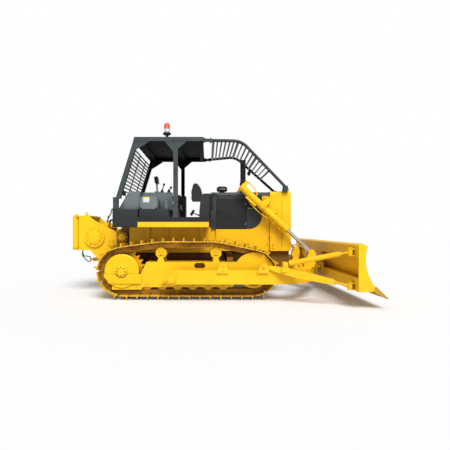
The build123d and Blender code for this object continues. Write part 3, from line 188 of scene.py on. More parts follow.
def make_sun(name, energy, place, aim, softness):
    """A sun at a place, looking at a point; its softness is the angle that its disc fills."""
    lamp = bpy.data.objects.new(name, bpy.data.lights.new(name, "SUN"))
    bpy.context.scene.collection.objects.link(lamp)
    lamp.data.energy = energy
    lamp.data.angle = softness
    lamp.location = place
    lamp.rotation_euler = (Vector(aim) - Vector(place)).to_track_quat("-Z", "Y").to_euler()


def make_floor():
    """A wide pale ground, a hair below zero."""
    mesh = bpy.data.meshes.new("floor")
    reach = 80.0
    corners = [(reach * x, reach * y, -0.001) for x, y in ((-1, -1), (1, -1), (1, 1), (-1, 1))]
    mesh.from_pydata(corners, [], [(0, 1, 2, 3)])
    floor = bpy.data.objects.new("floor", mesh)
    bpy.context.scene.collection.objects.link(floor)
    material = bpy.data.materials.new("pale_floor")
    material.use_nodes = True
    tree = material.node_tree
    tree.nodes.clear()
    matt = node(tree, "ShaderNodeBsdfDiffuse", {"Color": (0.80, 0.80, 0.80, 1)})
    camera_ray = node(tree, "ShaderNodeLightPath").outputs["Is Camera Ray"]
    glow = node(tree, "ShaderNodeEmission", {"Strength": times(tree, camera_ray, 0.06)})
    both = node(tree, "ShaderNodeAddShader", {0: matt.outputs[0], 1: glow.outputs[0]})
    node(tree, "ShaderNodeOutputMaterial", {"Surface": both.outputs[0]})
    mesh.materials.append(material)


make_sky()
make_sun("soft_sun", 3.1, (1.5, -6.5, 9.0), (0, 0, 1), radians(32))
make_floor()
print("world:", bpy.context.scene.world.name)

# %% [markdown]
# ## What weather and work do to a surface, and where shade is painted
# Paint, plastic and steel differ in colour, but they age in the same ways. Each effect is a shader
# group with named inputs, built once and placed in many materials:
# - worn_edges finds corners: a bevel of the normal differs from the flat normal only near an edge.
# - settled_dust is thick near the ground, thinner above, and lies on faces that look up.
# - paint_skin is the orange peel of a sprayed coat, with broad waves in the sheet below it.
# - rain_runs are faint upright streaks.
# - brushed_lines are the fine scratches and dull patches of bare metal.
# - hide_grain is the cells of a vinyl cover, and where they are rubbed.
# - the recess group paints shade into corners that see little open air, darker the less they see.
# - looks_inward finds faces that look down or towards the machine's middle, where the canopy gets painted
#   shade.


# %% Ageing groups and painted shade
def worn_edges():
    tree, given, made = new_tree("worn_edges", "ShaderNodeTree",
                                 [("Radius", "Float", 0.006), ("Amount", "Float", 0.6),
                                  ("Patch Scale", "Float", 7.0)],
                                 [("Mask", "Float")])
    rounded = node(tree, "ShaderNodeBevel", {"Radius": given["Radius"]}, samples=4).outputs[0]
    alike = node(tree, "ShaderNodeVectorMath", {0: rounded, 1: face_normal(tree)},
                 operation="DOT_PRODUCT").outputs["Value"]
    edge = fade(tree, alike, 0.995, 0.93)
    patches = fade(tree, cloudy(tree, at_object(tree), given["Patch Scale"], 6.0, 0.7), 0.44, 0.60)
    tree.links.new(times(tree, times(tree, edge, patches), given["Amount"]), made["Mask"])
    return tree


def settled_dust():
    tree, given, made = new_tree("settled_dust", "ShaderNodeTree",
                                 [("Top", "Float", 1.2), ("Low Amount", "Float", 0.5),
                                  ("Ledge Amount", "Float", 0.3)],
                                 [("Mask", "Float")])
    place = at_object(tree)
    height = along_axis(tree, place, "Z")
    clouds = fade(tree, cloudy(tree, place, 4.0, 6.0, 0.65), 0.30, 0.72)
    low = times(tree, fade(tree, height, given["Top"], 0.0), given["Low Amount"])
    upwards = along_axis(tree, face_normal(tree), "Z")
    ledge = times(tree, fade(tree, upwards, 0.55, 0.95), given["Ledge Amount"])
    tree.links.new(times(tree, sums(tree, "MAXIMUM", low, ledge), clouds, clamp=True), made["Mask"])
    return tree


def paint_skin():
    tree, given, made = new_tree("paint_skin", "ShaderNodeTree",
                                 [("Peel Scale", "Float", 130.0), ("Wave Scale", "Float", 3.0)],
                                 [("Height", "Float"), ("Shade", "Float")])
    place = at_object(tree)
    peel = cloudy(tree, place, given["Peel Scale"], 2.0)
    wave = cloudy(tree, place, given["Wave Scale"], 2.0)
    tree.links.new(sums(tree, "ADD", times(tree, peel, 0.12), wave), made["Height"])
    tree.links.new(fade(tree, cloudy(tree, place, 1.7, 4.0), 0.30, 0.70), made["Shade"])
    return tree


def rain_runs():
    tree, given, made = new_tree("rain_runs", "ShaderNodeTree",
                                 [("Spacing", "Float", 14.0), ("Amount", "Float", 0.2)],
                                 [("Mask", "Float")])
    long = stretched(tree, at_object(tree), (1.0, 1.0, 0.06))
    streaks = fade(tree, cloudy(tree, long, given["Spacing"], 4.0, 0.6), 0.52, 0.75)
    tree.links.new(times(tree, streaks, given["Amount"]), made["Mask"])
    return tree


def brushed_lines():
    tree, given, made = new_tree("brushed_lines", "ShaderNodeTree", [("Scale", "Float", 60.0)],
                                 [("Height", "Float"), ("Mask", "Float")])
    fine = cloudy(tree, stretched(tree, at_object(tree), (1.0, 0.05, 1.0)), given["Scale"], 3.0)
    broad = cloudy(tree, at_object(tree), 6.0, 5.0, 0.65)
    tree.links.new(fine, made["Height"])
    tree.links.new(fade(tree, broad, 0.35, 0.70), made["Mask"])
    return tree


def hide_grain():
    tree, given, made = new_tree("hide_grain", "ShaderNodeTree", [("Scale", "Float", 260.0)],
                                 [("Height", "Float"), ("Rub", "Float")])
    place = at_object(tree)
    cells = node(tree, "ShaderNodeTexVoronoi", {"Vector": place, "Scale": given["Scale"]},
                 feature="DISTANCE_TO_EDGE").outputs[0]
    tree.links.new(fade(tree, cells, 0.0, 0.16), made["Height"])
    tree.links.new(fade(tree, cloudy(tree, place, 9.0, 4.0), 0.40, 0.70), made["Rub"])
    return tree


def painted_recess_shade():
    """Painted shade where a surface hardly sees the open air: the less open air it sees, the darker."""
    tree, given, made = new_tree("painted_recess_shade", "ShaderNodeTree",
                                 [("Reach", "Float", 0.3), ("Amount", "Float", 0.8)], [("Mask", "Float")])
    open_air = node(tree, "ShaderNodeAmbientOcclusion", {"Distance": given["Reach"]},
                    samples=8).outputs["AO"]
    clouds = fade(tree, cloudy(tree, at_object(tree), 5.0, 4.0), 0.20, 0.60)
    # painted shade: darker where ambient occlusion finds little open air
    occluded_shade = times(tree, fade(tree, open_air, 0.62, 0.10), given["Amount"])
    share = sums(tree, "ADD", times(tree, clouds, 0.35), 0.65)
    tree.links.new(times(tree, occluded_shade, share, clamp=True), made["Mask"])
    return tree


def looks_inward():
    """1 where a face looks down or towards the machine's middle plane: where shade is painted."""
    tree, _, made = new_tree("looks_inward", "ShaderNodeTree", [], [("Mask", "Float")])
    facing = face_normal(tree)
    side = sums(tree, "SIGN", along_axis(tree, at_object(tree), "Y"))
    inward = fade(tree, times(tree, along_axis(tree, facing, "Y"), side), -0.5, -0.8)
    downward = fade(tree, along_axis(tree, facing, "Z"), -0.5, -0.8)
    tree.links.new(sums(tree, "MAXIMUM", inward, downward), made["Mask"])
    return tree


group_makers = (worn_edges, settled_dust, paint_skin, rain_runs, brushed_lines, hide_grain, painted_recess_shade,
                looks_inward)
groups = {maker.__name__: maker() for maker in group_makers}
print("shader groups:", sorted(groups))


# %% [markdown]
# ## Paint
# A coat of machine enamel is a colour that drifts a little from panel to panel, a clear gloss over it,
# dust on the ledges and low down, and primer or bare steel where hands, boots and stones have rubbed
# the edges. One function mixes these with painted shade in recesses and on inward faces, and each paint has
# its own values.


# %% Coated metal
finish = {}


def place_group(tree, name, **values):
    """A placed shader group with its values set."""
    placed = node(tree, "ShaderNodeGroup", node_tree=groups[name])
    for label, value in values.items():
        placed.inputs[label.replace("_", " ")].default_value = value
    return placed.outputs


def new_material(name):
    """A material with its main shader, entered in the table of finishes."""
    material = finish[name] = bpy.data.materials.new(name)
    material.use_nodes = True
    tree = material.node_tree
    tree.nodes.clear()
    shader = tree.nodes.new("ShaderNodeBsdfPrincipled")
    node(tree, "ShaderNodeOutputMaterial", {"Surface": shader.outputs[0]})
    return tree, shader


def bumped(tree, shader, height, distance, strength):
    """Small relief that only the light sees."""
    bump = node(tree, "ShaderNodeBump", {"Height": height, "Distance": distance, "Strength": strength})
    tree.links.new(bump.outputs[0], shader.inputs["Normal"])


# reach and share of the painted shade in small crevices
crevice_shade_reach = 0.05
crevice_shade_share = 0.85


def coated(name, colour, shaded, bare, dust, roughness=0.34, coat=0.35, wear=0.6, radius=0.006,
           low=0.45, ledge=0.25, top=1.2, runs=0.12, peel=130.0, split=None, ahead=None, inner=None,
           reach=0.30, recess=0.8, shine=0.28, recess_shade_colour=(0.006, 0.006, 0.006)):
    """Sprayed enamel. split = (height, colour, shaded colour) paints what is above that height, and
    ahead = (x, z) also paints what is ahead of x and above z. inner is a painted shade for faces that look
    down or towards the machine's middle, and the last argument is the colour of the painted shade in recesses
    and crevices."""
    tree, shader = new_material(name)
    skin = place_group(tree, "paint_skin", Peel_Scale=peel)
    worn = place_group(tree, "worn_edges", Radius=radius, Amount=wear)["Mask"]
    dusty = place_group(tree, "settled_dust", Top=top, Low_Amount=low, Ledge_Amount=ledge)["Mask"]
    streaks = place_group(tree, "rain_runs", Amount=runs)["Mask"]
    base = mixed(tree, skin["Shade"], (*shaded, 1), (*colour, 1))
    if split:
        height = along_axis(tree, at_object(tree), "Z")
        above = sums(tree, "GREATER_THAN", height, split[0])
        if ahead is not None:
            length = along_axis(tree, at_object(tree), "X")
            ring = times(tree, sums(tree, "GREATER_THAN", length, ahead[0]),
                         sums(tree, "GREATER_THAN", height, ahead[1]))
            above = sums(tree, "MAXIMUM", above, ring)
        base = mixed(tree, above, base, mixed(tree, skin["Shade"], (*split[2], 1), (*split[1], 1)))
    base = mixed(tree, sums(tree, "MAXIMUM", dusty, streaks), base, (*dust, 1))
    base = mixed(tree, worn, base, (*bare, 1))
    # painted shade: faces that look down or inwards take the inner colour
    if inner:
        base = mixed(tree, place_group(tree, "looks_inward")["Mask"], base, (*inner, 1))
    # painted shade: recesses and crevices that see little open air turn towards the recess colour
    occluded_shade = place_group(tree, "painted_recess_shade", Reach=reach, Amount=recess)["Mask"]
    corner = place_group(tree, "painted_recess_shade", Reach=crevice_shade_reach, Amount=crevice_shade_share)["Mask"]
    base = mixed(tree, sums(tree, "MAXIMUM", occluded_shade, corner), base, (*recess_shade_colour, 1))
    tree.links.new(base, shader.inputs["Base Color"])
    rough = sums(tree, "ADD", times(tree, dusty, 0.45), roughness)
    rough = sums(tree, "ADD", rough, times(tree, skin["Shade"], 0.05), clamp=True)
    tree.links.new(rough, shader.inputs["Roughness"])
    shader.inputs["Coat Weight"].default_value = coat
    shader.inputs["Coat Roughness"].default_value = 0.18
    shader.inputs["Specular IOR Level"].default_value = shine
    bumped(tree, shader, skin["Height"], 0.0012, 0.55)


yellow = (0.97, 0.585, 0.003)
yellow_shaded = (0.93, 0.530, 0.002)
# the dark brown that the yellow paints take in their recesses: painted shade
brown_recess_shade = (0.115, 0.038, 0.004)
graphite = (0.017, 0.019, 0.020)
graphite_shaded = (0.012, 0.014, 0.015)
clay_dust = (0.50, 0.27, 0.05)
pale_dust = (0.16, 0.15, 0.13)
rubbed_steel = (0.33, 0.31, 0.29)

coated("machine_yellow", yellow, yellow_shaded, (0.36, 0.20, 0.07), clay_dust,
       roughness=0.45, coat=0.04, wear=0.35, low=0.14, ledge=0.08, runs=0.04,
       recess_shade_colour=brown_recess_shade)
coated("blade_yellow", yellow, (0.90, 0.50, 0.003), (0.36, 0.25, 0.16), clay_dust,
       roughness=0.45, coat=0.04, wear=0.5, radius=0.008, low=0.16, ledge=0.08, top=1.4,
       runs=0.06, reach=0.6, recess=0.7, recess_shade_colour=brown_recess_shade)
# painted shade: a darker yellow with deep recess shade for the belly parts, which sit in shadow under the
# machine
coated("belly_shade_yellow", (0.50, 0.24, 0.008), (0.20, 0.085, 0.008), (0.16, 0.10, 0.05),
       (0.10, 0.045, 0.01), roughness=0.6, coat=0.0, wear=0.3, low=0.6, ledge=0.3, top=1.3,
       runs=0.3, reach=0.9, recess=0.95, recess_shade_colour=(0.020, 0.008, 0.002))
coated("chain_yellow", (0.93, 0.53, 0.005), (0.74, 0.38, 0.005), (0.30, 0.20, 0.10),
       (0.34, 0.15, 0.02), roughness=0.5, coat=0.0, wear=0.7, radius=0.010, low=0.35,
       ledge=0.25, top=2.4, runs=0.0, reach=0.20, recess=0.95, recess_shade_colour=(0.05, 0.016, 0.002))
# greasy brown links whose darker orange-brown also stands in for the shade under the shoes: partly painted
# shade
coated("chain_grease_and_shade", (0.62, 0.30, 0.010), (0.26, 0.115, 0.008), (0.34, 0.22, 0.12),
       (0.10, 0.04, 0.006), roughness=0.55, coat=0.0, wear=0.5, low=0.5, ledge=0.5, top=2.4,
       runs=0.0, reach=0.16, recess=0.95, recess_shade_colour=(0.022, 0.008, 0.002))
coated("edge_yellow", (0.80, 0.44, 0.006), (0.42, 0.21, 0.015), (0.10, 0.06, 0.04),
       (0.13, 0.07, 0.03), roughness=0.5, coat=0.0, wear=0.95, radius=0.020, low=0.85,
       ledge=0.5, top=0.90, runs=0.2)
coated("graphite_paint", (0.014, 0.0155, 0.0150), (0.010, 0.011, 0.011), (0.10, 0.105, 0.11), pale_dust,
       roughness=0.45, coat=0.10, wear=0.35, low=0.0, ledge=0.08, runs=0.03)
coated("deck_paint", yellow, yellow_shaded, (0.16, 0.12, 0.09), (0.36, 0.20, 0.06),
       roughness=0.45, coat=0.04, wear=0.3, low=0.14, ledge=0.08, runs=0.05,
       split=(1.597, graphite, graphite_shaded), ahead=(-0.052, 1.49), recess_shade_colour=brown_recess_shade, reach=0.45)
# its downward and inward faces are near black: painted shade under the canopy
coated("post_paint", (0.074, 0.088, 0.092), (0.056, 0.068, 0.073), (0.20, 0.20, 0.20),
       pale_dust, roughness=0.6, coat=0.0, wear=0.4, low=0.0, ledge=0.08, runs=0.05,
       shine=0.03, inner=(0.003, 0.003, 0.003))
# the lighter grey above 1.872 m stands in for the light on the tanks' upper faces: painted light
coated("console_paint", (0.026, 0.030, 0.031), (0.018, 0.021, 0.022), (0.14, 0.14, 0.14),
       pale_dust, roughness=0.45, coat=0.10, wear=0.4, low=0.0, ledge=0.08, runs=0.03,
       split=(1.872, (0.165, 0.195, 0.205), (0.135, 0.165, 0.175)))
coated("hood_paint", (0.040, 0.046, 0.048), (0.026, 0.030, 0.032), (0.14, 0.14, 0.14),
       pale_dust, roughness=0.45, coat=0.10, wear=0.4, low=0.0, ledge=0.10, runs=0.05)
coated("black_paint", (0.010, 0.011, 0.012), (0.007, 0.007, 0.008), (0.10, 0.10, 0.10),
       pale_dust, roughness=0.45, coat=0.10, wear=0.4, low=0.0, ledge=0.08, runs=0.0)
coated("engine_iron", (0.045, 0.048, 0.050), (0.03, 0.03, 0.032), rubbed_steel,
       (0.05, 0.035, 0.02), roughness=0.62, coat=0.0, wear=0.35, ledge=0.5, peel=60.0)
print("paints:", sorted(finish))

# %% [markdown]
# ## Steel, plastic, rubber, vinyl and lenses
# Bare metal is a bright base with fine scratches in its roughness; chrome is almost a mirror, with a
# few dull wipes. Moulded plastic and rubber have a fine even grain, vinyl has the cells of a hide.


# %% Other finishes
def bright(name, colour, dull, roughness, spread, scale=60.0, metallic=1.0, bump=0.0003):
    """Bare metal: a base colour with dull patches and fine lines."""
    tree, shader = new_material(name)
    lines = place_group(tree, "brushed_lines", Scale=scale)
    base = mixed(tree, lines["Mask"], (*colour, 1), (*dull, 1))
    tree.links.new(base, shader.inputs["Base Color"])
    rough = sums(tree, "ADD", times(tree, lines["Mask"], spread), roughness)
    tree.links.new(rough, shader.inputs["Roughness"])
    shader.inputs["Metallic"].default_value = metallic
    bumped(tree, shader, lines["Height"], bump, 0.6)


def moulded(name, colour, roughness=0.55, scale=320.0, dust=0.15, gloss=0.0):
    """Moulded plastic or rubber with an even grain and a little dust."""
    tree, shader = new_material(name)
    dusty = place_group(tree, "settled_dust", Top=0.5, Low_Amount=dust, Ledge_Amount=dust)["Mask"]
    skin = place_group(tree, "paint_skin", Peel_Scale=scale, Wave_Scale=9.0)
    base = mixed(tree, skin["Shade"], (*colour, 1), (*[0.8 * part for part in colour], 1))
    tree.links.new(mixed(tree, dusty, base, (*pale_dust, 1)), shader.inputs["Base Color"])
    tree.links.new(sums(tree, "ADD", times(tree, dusty, 0.3), roughness), shader.inputs["Roughness"])
    shader.inputs["Coat Weight"].default_value = gloss
    bumped(tree, shader, skin["Height"], 0.0004, 0.6)


def vinyl(name, colour):
    """Seat cover with a hide grain, rubbed smoother in patches."""
    tree, shader = new_material(name)
    grain = place_group(tree, "hide_grain", Scale=240.0)
    tree.links.new(mixed(tree, grain["Rub"], (*colour, 1), (*[1.6 * part for part in colour], 1)),
                   shader.inputs["Base Color"])
    tree.links.new(sums(tree, "ADD", times(tree, grain["Rub"], -0.12), 0.52), shader.inputs["Roughness"])
    shader.inputs["Coat Weight"].default_value = 0.08
    shader.inputs["Sheen Weight"].default_value = 0.06
    bumped(tree, shader, grain["Height"], 0.0006, 0.7)


def lens(name, colour, glow=0.0, roughness=0.12, gloss=0.8):
    """Clear or tinted polycarbonate, drawn as a glossy body colour so that it reads from all sides."""
    tree, shader = new_material(name)
    skin = place_group(tree, "paint_skin", Peel_Scale=200.0, Wave_Scale=20.0)
    tree.links.new(mixed(tree, skin["Shade"], (*colour, 1), (*[0.75 * part for part in colour], 1)),
                   shader.inputs["Base Color"])
    shader.inputs["Roughness"].default_value = roughness
    shader.inputs["Coat Weight"].default_value = gloss
    shader.inputs["Coat Roughness"].default_value = 0.05
    shader.inputs["Emission Color"].default_value = (*colour, 1)
    shader.inputs["Emission Strength"].default_value = glow
    bumped(tree, shader, skin["Height"], 0.0003, 0.4)


bright("worn_steel", (0.42, 0.40, 0.37), (0.20, 0.15, 0.11), 0.34, 0.25)
bright("chrome", (0.78, 0.79, 0.80), (0.60, 0.60, 0.60), 0.08, 0.12, scale=120.0)
bright("zinc", (0.55, 0.54, 0.50), (0.38, 0.36, 0.32), 0.30, 0.20)
bright("wire", (0.016, 0.015, 0.014), (0.010, 0.009, 0.008), 0.55, 0.25, scale=200.0, metallic=0.0,
       bump=0.0006)
bright("burnt_steel", (0.10, 0.098, 0.095), (0.075, 0.055, 0.045), 0.5, 0.2, metallic=0.6)
moulded("black_plastic", (0.022, 0.023, 0.024))
moulded("grey_plastic", (0.10, 0.105, 0.11))
moulded("rubber", (0.014, 0.014, 0.014), roughness=0.68, scale=180.0, dust=0.25)
moulded("red_cap", (0.62, 0.02, 0.015), roughness=0.35, gloss=0.3, dust=0.05)
moulded("blank_plate", (0.80, 0.80, 0.76), roughness=0.3, gloss=0.4, dust=0.05)
vinyl("seat_vinyl", (0.010, 0.0105, 0.011))
lens("amber_lens", (0.78, 0.075, 0.010), glow=0.10, roughness=0.35, gloss=0.15)
lens("clear_lens", (0.80, 0.82, 0.84), roughness=0.06)
lens("gauge_face", (0.05, 0.055, 0.06), roughness=0.1)
print("finishes:", len(finish))

# %% [markdown]
# ## Dress the solids
# Most solids keep their own mesh and only get a finish. The table below reads like a paint shop's
# order: which finish, then the solids that wear it.

# %% Finish for each solid
dressed = {
    "machine_yellow": ["sprockets", "idlers", "bottom_rollers", "carrier_rollers", "track_frames",
                       "final_drives", "pivot_shafts", "engine_bay_sides", "radiator_guard",
                       "cylinder_yokes", "lift_barrel_left", "lift_barrel_right", "winch_housing",
                       "fairlead_frame", "drawbar", "fairlead_roller_left", "fairlead_roller_right"],
    "belly_shade_yellow": ["main_frame", "rear_case", "equalizer_bar"],
    "blade_yellow": ["c_frame", "struts", "braces", "blade", "strut_pins"],
    "edge_yellow": ["cutting_edge"],
    "chain_yellow": ["track_left", "track_right"],
    "graphite_paint": ["engine_door_left", "engine_door_right", "operator_deck", "battery_box",
                       "front_grille", "exhaust_stack"],
    "console_paint": ["fuel_tank", "hydraulic_tank"],
    "hood_paint": ["engine_hood", "dash_cowl"],
    "post_paint": ["canopy_frame", "canopy_roof", "sweep_tubes"],
    "deck_paint": ["fenders"],
    "black_paint": ["sweep_screen", "rear_screen", "seat_frame", "controls"],
    "engine_iron": ["engine_block", "radiator_core"],
    "worn_steel": ["fairlead_cross_roller"],
    "chrome": ["lift_rod_left", "lift_rod_right"],
    "wire": ["winch_drum", "winch_rope"],
    "black_plastic": ["air_precleaner", "instrument_panel"],
    "seat_vinyl": ["seat_cushion", "seat_back", "headrest"],
    "amber_lens": ["beacon"],
}
for look, names in dressed.items():
    for name in names:
        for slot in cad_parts[name].material_slots:
            slot.material = finish[look]
named = {name for names in dressed.values() for name in names}
print("solids without a finish:", sorted(set(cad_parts) - named))

# %% [markdown]
# ## Building blocks for added pieces
# Everything that is bolted, hung or stuffed on the solids is drawn with four small helpers: a turned
# shape, a flat shape with broken edges, a tube along a line, and a place, which is where a shape stands
# and which way its own Z looks. A piece is finished by pointing its faces outwards and giving it a finish
# and the body it rides on.


# %% Building blocks
def place_at(origin, facing, along=(0, 0, 1)):
    """A frame at a point whose z is the facing and whose x lies as near as it can along a direction."""
    z = Vector(facing).normalized()
    x = Vector(along) - z * z.dot(Vector(along))
    if x.length < 1e-4:
        x = z.orthogonal()
    x.normalize()
    return Matrix.Translation(origin) @ Matrix((x, z.cross(x), z)).transposed().to_4x4()


def bridge(bm, low, high):
    """Faces between two rings, either of which may be a single point."""
    count = max(len(low), len(high))
    for number in range(count):
        after = (number + 1) % count
        corners = [low[number % len(low)], low[after % len(low)], high[after % len(high)],
                   high[number % len(high)]]
        unique = list(dict.fromkeys(corners))
        if len(unique) > 2:
            bm.faces.new(unique)


def ring_points(place, radius, height, sides):
    """Points evenly round the place's z."""
    around = [tau * k / sides for k in range(sides)]
    return [place @ Vector((radius * cos(turn), radius * sin(turn), height)) for turn in around]


def turned(bm, place, profile, sides=28):
    """A profile of (radius, height) turned about the place's z."""
    rings = []
    for radius, height in profile:
        corners = ring_points(place, radius, height, sides if radius > 1e-6 else 1)
        rings.append([bm.verts.new(corner) for corner in corners])
    for low, high in zip(rings, rings[1:]):
        bridge(bm, low, high)
    for ring in (rings[0], rings[-1]):
        if len(ring) > 2:
            bm.faces.new(ring)


def lathe_ring(bm, place, profile, sides=28):
    """A closed profile turned about the place's z, such as a tyre or a washer."""
    rings = [[bm.verts.new(corner) for corner in ring_points(place, radius, height, sides)]
             for radius, height in profile]
    for low, high in zip(rings, rings[1:] + rings[:1]):
        bridge(bm, low, high)


def slab(bm, place, outline, thickness, bevel=0.0015):
    """A flat shape drawn in the place's x and y, with broken edges."""
    low = [bm.verts.new(place @ Vector((x, y, 0))) for x, y in outline]
    high = [bm.verts.new(place @ Vector((x, y, thickness))) for x, y in outline]
    bridge(bm, low, high)
    caps = [bm.faces.new(low), bm.faces.new(high)]
    if bevel:
        edges = [edge for face in caps for edge in face.edges]
        bmesh.ops.bevel(bm, geom=edges, offset=bevel, segments=2, profile=0.6, affect="EDGES")


def rectangle(width, height, x=0.0, y=0.0):
    """A plain outline round a middle."""
    return [(x + width / 2 * sx, y + height / 2 * sy) for sx, sy in ((-1, -1), (1, -1), (1, 1), (-1, 1))]


def rounded(width, height, radius, x=0.0, y=0.0, steps=4):
    """A rectangle with round corners."""
    points = []
    for turn, (sx, sy) in enumerate(((1, 1), (-1, 1), (-1, -1), (1, -1))):
        for step in range(steps + 1):
            angle = (turn + step / steps) * pi / 2
            points.append((x + sx * (width / 2 - radius) + radius * cos(angle),
                           y + sy * (height / 2 - radius) + radius * sin(angle)))
    return points


def soft_line(points, steps=6):
    """A smooth line through the points."""
    points = [Vector(point) for point in points]
    line = []
    for index in range(len(points) - 1):
        p1, p2 = points[index], points[index + 1]
        p0 = points[index - 1] if index else p1 * 2 - p2
        p3 = points[index + 2] if index + 2 < len(points) else p2 * 2 - p1
        for step in range(steps):
            t = step / steps
            line.append(0.5 * (2 * p1 + (p2 - p0) * t + (2 * p0 - 5 * p1 + 4 * p2 - p3) * t * t
                               + (3 * p1 - p0 - 3 * p2 + p3) * t ** 3))
    return line + [points[-1]]


def pipe(bm, line, radius, sides=12):
    """A round bar or tube along a line, closed at both ends."""
    line = [Vector(point) for point in line]
    around = [tau * k / sides for k in range(sides)]
    rings, side = [], None
    for index, point in enumerate(line):
        ahead = (line[min(index + 1, len(line) - 1)] - line[max(index - 1, 0)]).normalized()
        side = (ahead.orthogonal() if side is None else side - ahead * side.dot(ahead)).normalized()
        other = ahead.cross(side)
        rings.append([bm.verts.new(point + radius * (side * cos(turn) + other * sin(turn)))
                      for turn in around])
    for low, high in zip(rings, rings[1:]):
        bridge(bm, low, high)
    bm.faces.new(rings[0])
    bm.faces.new(rings[-1])


def linked(name, mesh):
    """A new object of the scene."""
    made = bpy.data.objects.new(name, mesh)
    bpy.context.scene.collection.objects.link(made)
    return made


def drawn(name, draw):
    """An object whose mesh a function draws, with its faces pointed outwards."""
    bm = bmesh.new()
    draw(bm)
    bmesh.ops.recalc_face_normals(bm, faces=bm.faces)
    mesh = bpy.data.meshes.new(name)
    bm.to_mesh(mesh)
    bm.free()
    return linked(name, mesh)


def piece(name, draw, look, body="hull", crease=32):
    """Draws a mesh and gives it its finish, the body it rides on and its paint slot."""
    return dressed_piece(drawn(name, draw), look, body, crease)


def dressed_piece(made, look, body, crease):
    """Smooth faces with sharp corners, a finish, a body and a slot; a look of None keeps the finish."""
    mesh = made.data
    mesh.shade_smooth()
    mesh.set_sharp_from_angle(angle=radians(crease))
    if look:
        mesh.materials.clear()
        mesh.materials.append(finish[look])
    if body:
        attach(made, body)
    return made


mirrored = (-1, 1)
flanks = ((1, "left"), (-1, "right"))

# %% [markdown]
# ## Instanced hardware
# Bolts, chain links and shoe bolts repeat hundreds of times, so Geometry Nodes place them. The input
# mesh is nothing but points: each carries a facing direction, and if needed a direction along which the
# part lies. Changing a head's size or its number of sides is one input of the tree.


# %% Trees for bolts and repeated parts
def turned_to(tree):
    """The rotation that points a part's z along each point's facing, and its x along its second direction."""
    facing, along = [node(tree, "GeometryNodeInputNamedAttribute", {"Name": name},
                          data_type="FLOAT_VECTOR").outputs[0] for name in ("facing", "along")]
    upright = node(tree, "FunctionNodeAlignRotationToVector", {"Vector": facing}, axis="Z").outputs[0]
    return node(tree, "FunctionNodeAlignRotationToVector", {"Rotation": upright, "Vector": along}, axis="X",
                pivot_axis="Z").outputs[0]


def finished(tree, geometry, material, made):
    """Real faces with their material, which is how each tree ends."""
    real = node(tree, "GeometryNodeRealizeInstances", {0: geometry}).outputs[0]
    coloured = node(tree, "GeometryNodeSetMaterial", {"Geometry": real, "Material": material}).outputs[0]
    tree.links.new(coloured, made["Geometry"])


def lifted(tree, geometry, height):
    """Geometry moved along its own z."""
    up = node(tree, "ShaderNodeCombineXYZ", {"Z": height}).outputs[0]
    return node(tree, "GeometryNodeTransform", {"Geometry": geometry, "Translation": up}).outputs[0]


def fastener_tree():
    """A bolt head on its washer at every point."""
    wanted = [("Geometry", "Geometry", None), ("Sides", "Int", 6), ("Across Flats", "Float", 0.024),
              ("Head Height", "Float", 0.012), ("Washer Radius", "Float", 0.018),
              ("Washer Height", "Float", 0.003), ("Seed", "Int", 3), ("Material", "Material", None)]
    tree, given, made = new_tree("fasteners", "GeometryNodeTree", wanted, [("Geometry", "Geometry")])
    head = node(tree, "GeometryNodeMeshCylinder",
                {"Vertices": given["Sides"], "Radius": times(tree, given["Across Flats"], 0.577),
                 "Depth": given["Head Height"]}).outputs["Mesh"]
    washer = node(tree, "GeometryNodeMeshCylinder", {"Vertices": 18, "Radius": given["Washer Radius"],
                                                     "Depth": given["Washer Height"]}).outputs["Mesh"]
    half_head = sums(tree, "ADD", times(tree, given["Head Height"], 0.5), given["Washer Height"])
    both = node(tree, "GeometryNodeJoinGeometry")
    tree.links.new(lifted(tree, head, half_head), both.inputs[0])
    tree.links.new(lifted(tree, washer, times(tree, given["Washer Height"], 0.5)), both.inputs[0])
    turn = node(tree, "FunctionNodeRandomValue", {"Seed": given["Seed"]}, data_type="FLOAT").outputs[1]
    spin = node(tree, "ShaderNodeCombineXYZ", {"Z": times(tree, turn, tau)}).outputs[0]
    spun = node(tree, "FunctionNodeEulerToRotation", {0: spin}).outputs[0]
    rotation = node(tree, "FunctionNodeRotateRotation", {"Rotation": turned_to(tree), "Rotate By": spun},
                    rotation_space="LOCAL").outputs[0]
    placed = node(tree, "GeometryNodeInstanceOnPoints",
                  {"Points": given["Geometry"], "Instance": both.outputs[0],
                   "Rotation": rotation}).outputs[0]
    finished(tree, placed, given["Material"], made)
    return tree


def placed_part_tree():
    """A drawn part at every point."""
    wanted = [("Geometry", "Geometry", None), ("Part", "Object", None), ("Material", "Material", None)]
    tree, given, made = new_tree("placed_parts", "GeometryNodeTree", wanted, [("Geometry", "Geometry")])
    part = node(tree, "GeometryNodeObjectInfo", {"Object": given["Part"]}).outputs["Geometry"]
    placed = node(tree, "GeometryNodeInstanceOnPoints",
                  {"Points": given["Geometry"], "Instance": part, "Rotation": turned_to(tree)}).outputs[0]
    finished(tree, placed, given["Material"], made)
    return tree


def evaluated_copy(source):
    """A plain mesh of what an object's modifiers make."""
    graph = bpy.context.evaluated_depsgraph_get()
    graph.update()
    return bpy.data.meshes.new_from_object(source.evaluated_get(graph), depsgraph=graph)


def grown(name, source, tree, **values):
    """Runs a tree on an object and keeps the result as a plain mesh; the source goes."""
    modifier = source.modifiers.new("grow", "NODES")
    modifier.node_group = tree
    sockets = {item.name: item.identifier for item in tree.interface.items_tree
               if item.item_type == "SOCKET" and item.in_out == "INPUT"}
    for label, value in values.items():
        modifier[sockets[label.replace("_", " ")]] = value
    source.update_tag()
    mesh = evaluated_copy(source)
    mesh.name = name
    points = source.data
    bpy.data.objects.remove(source)
    bpy.data.meshes.remove(points)
    return linked(name, mesh)


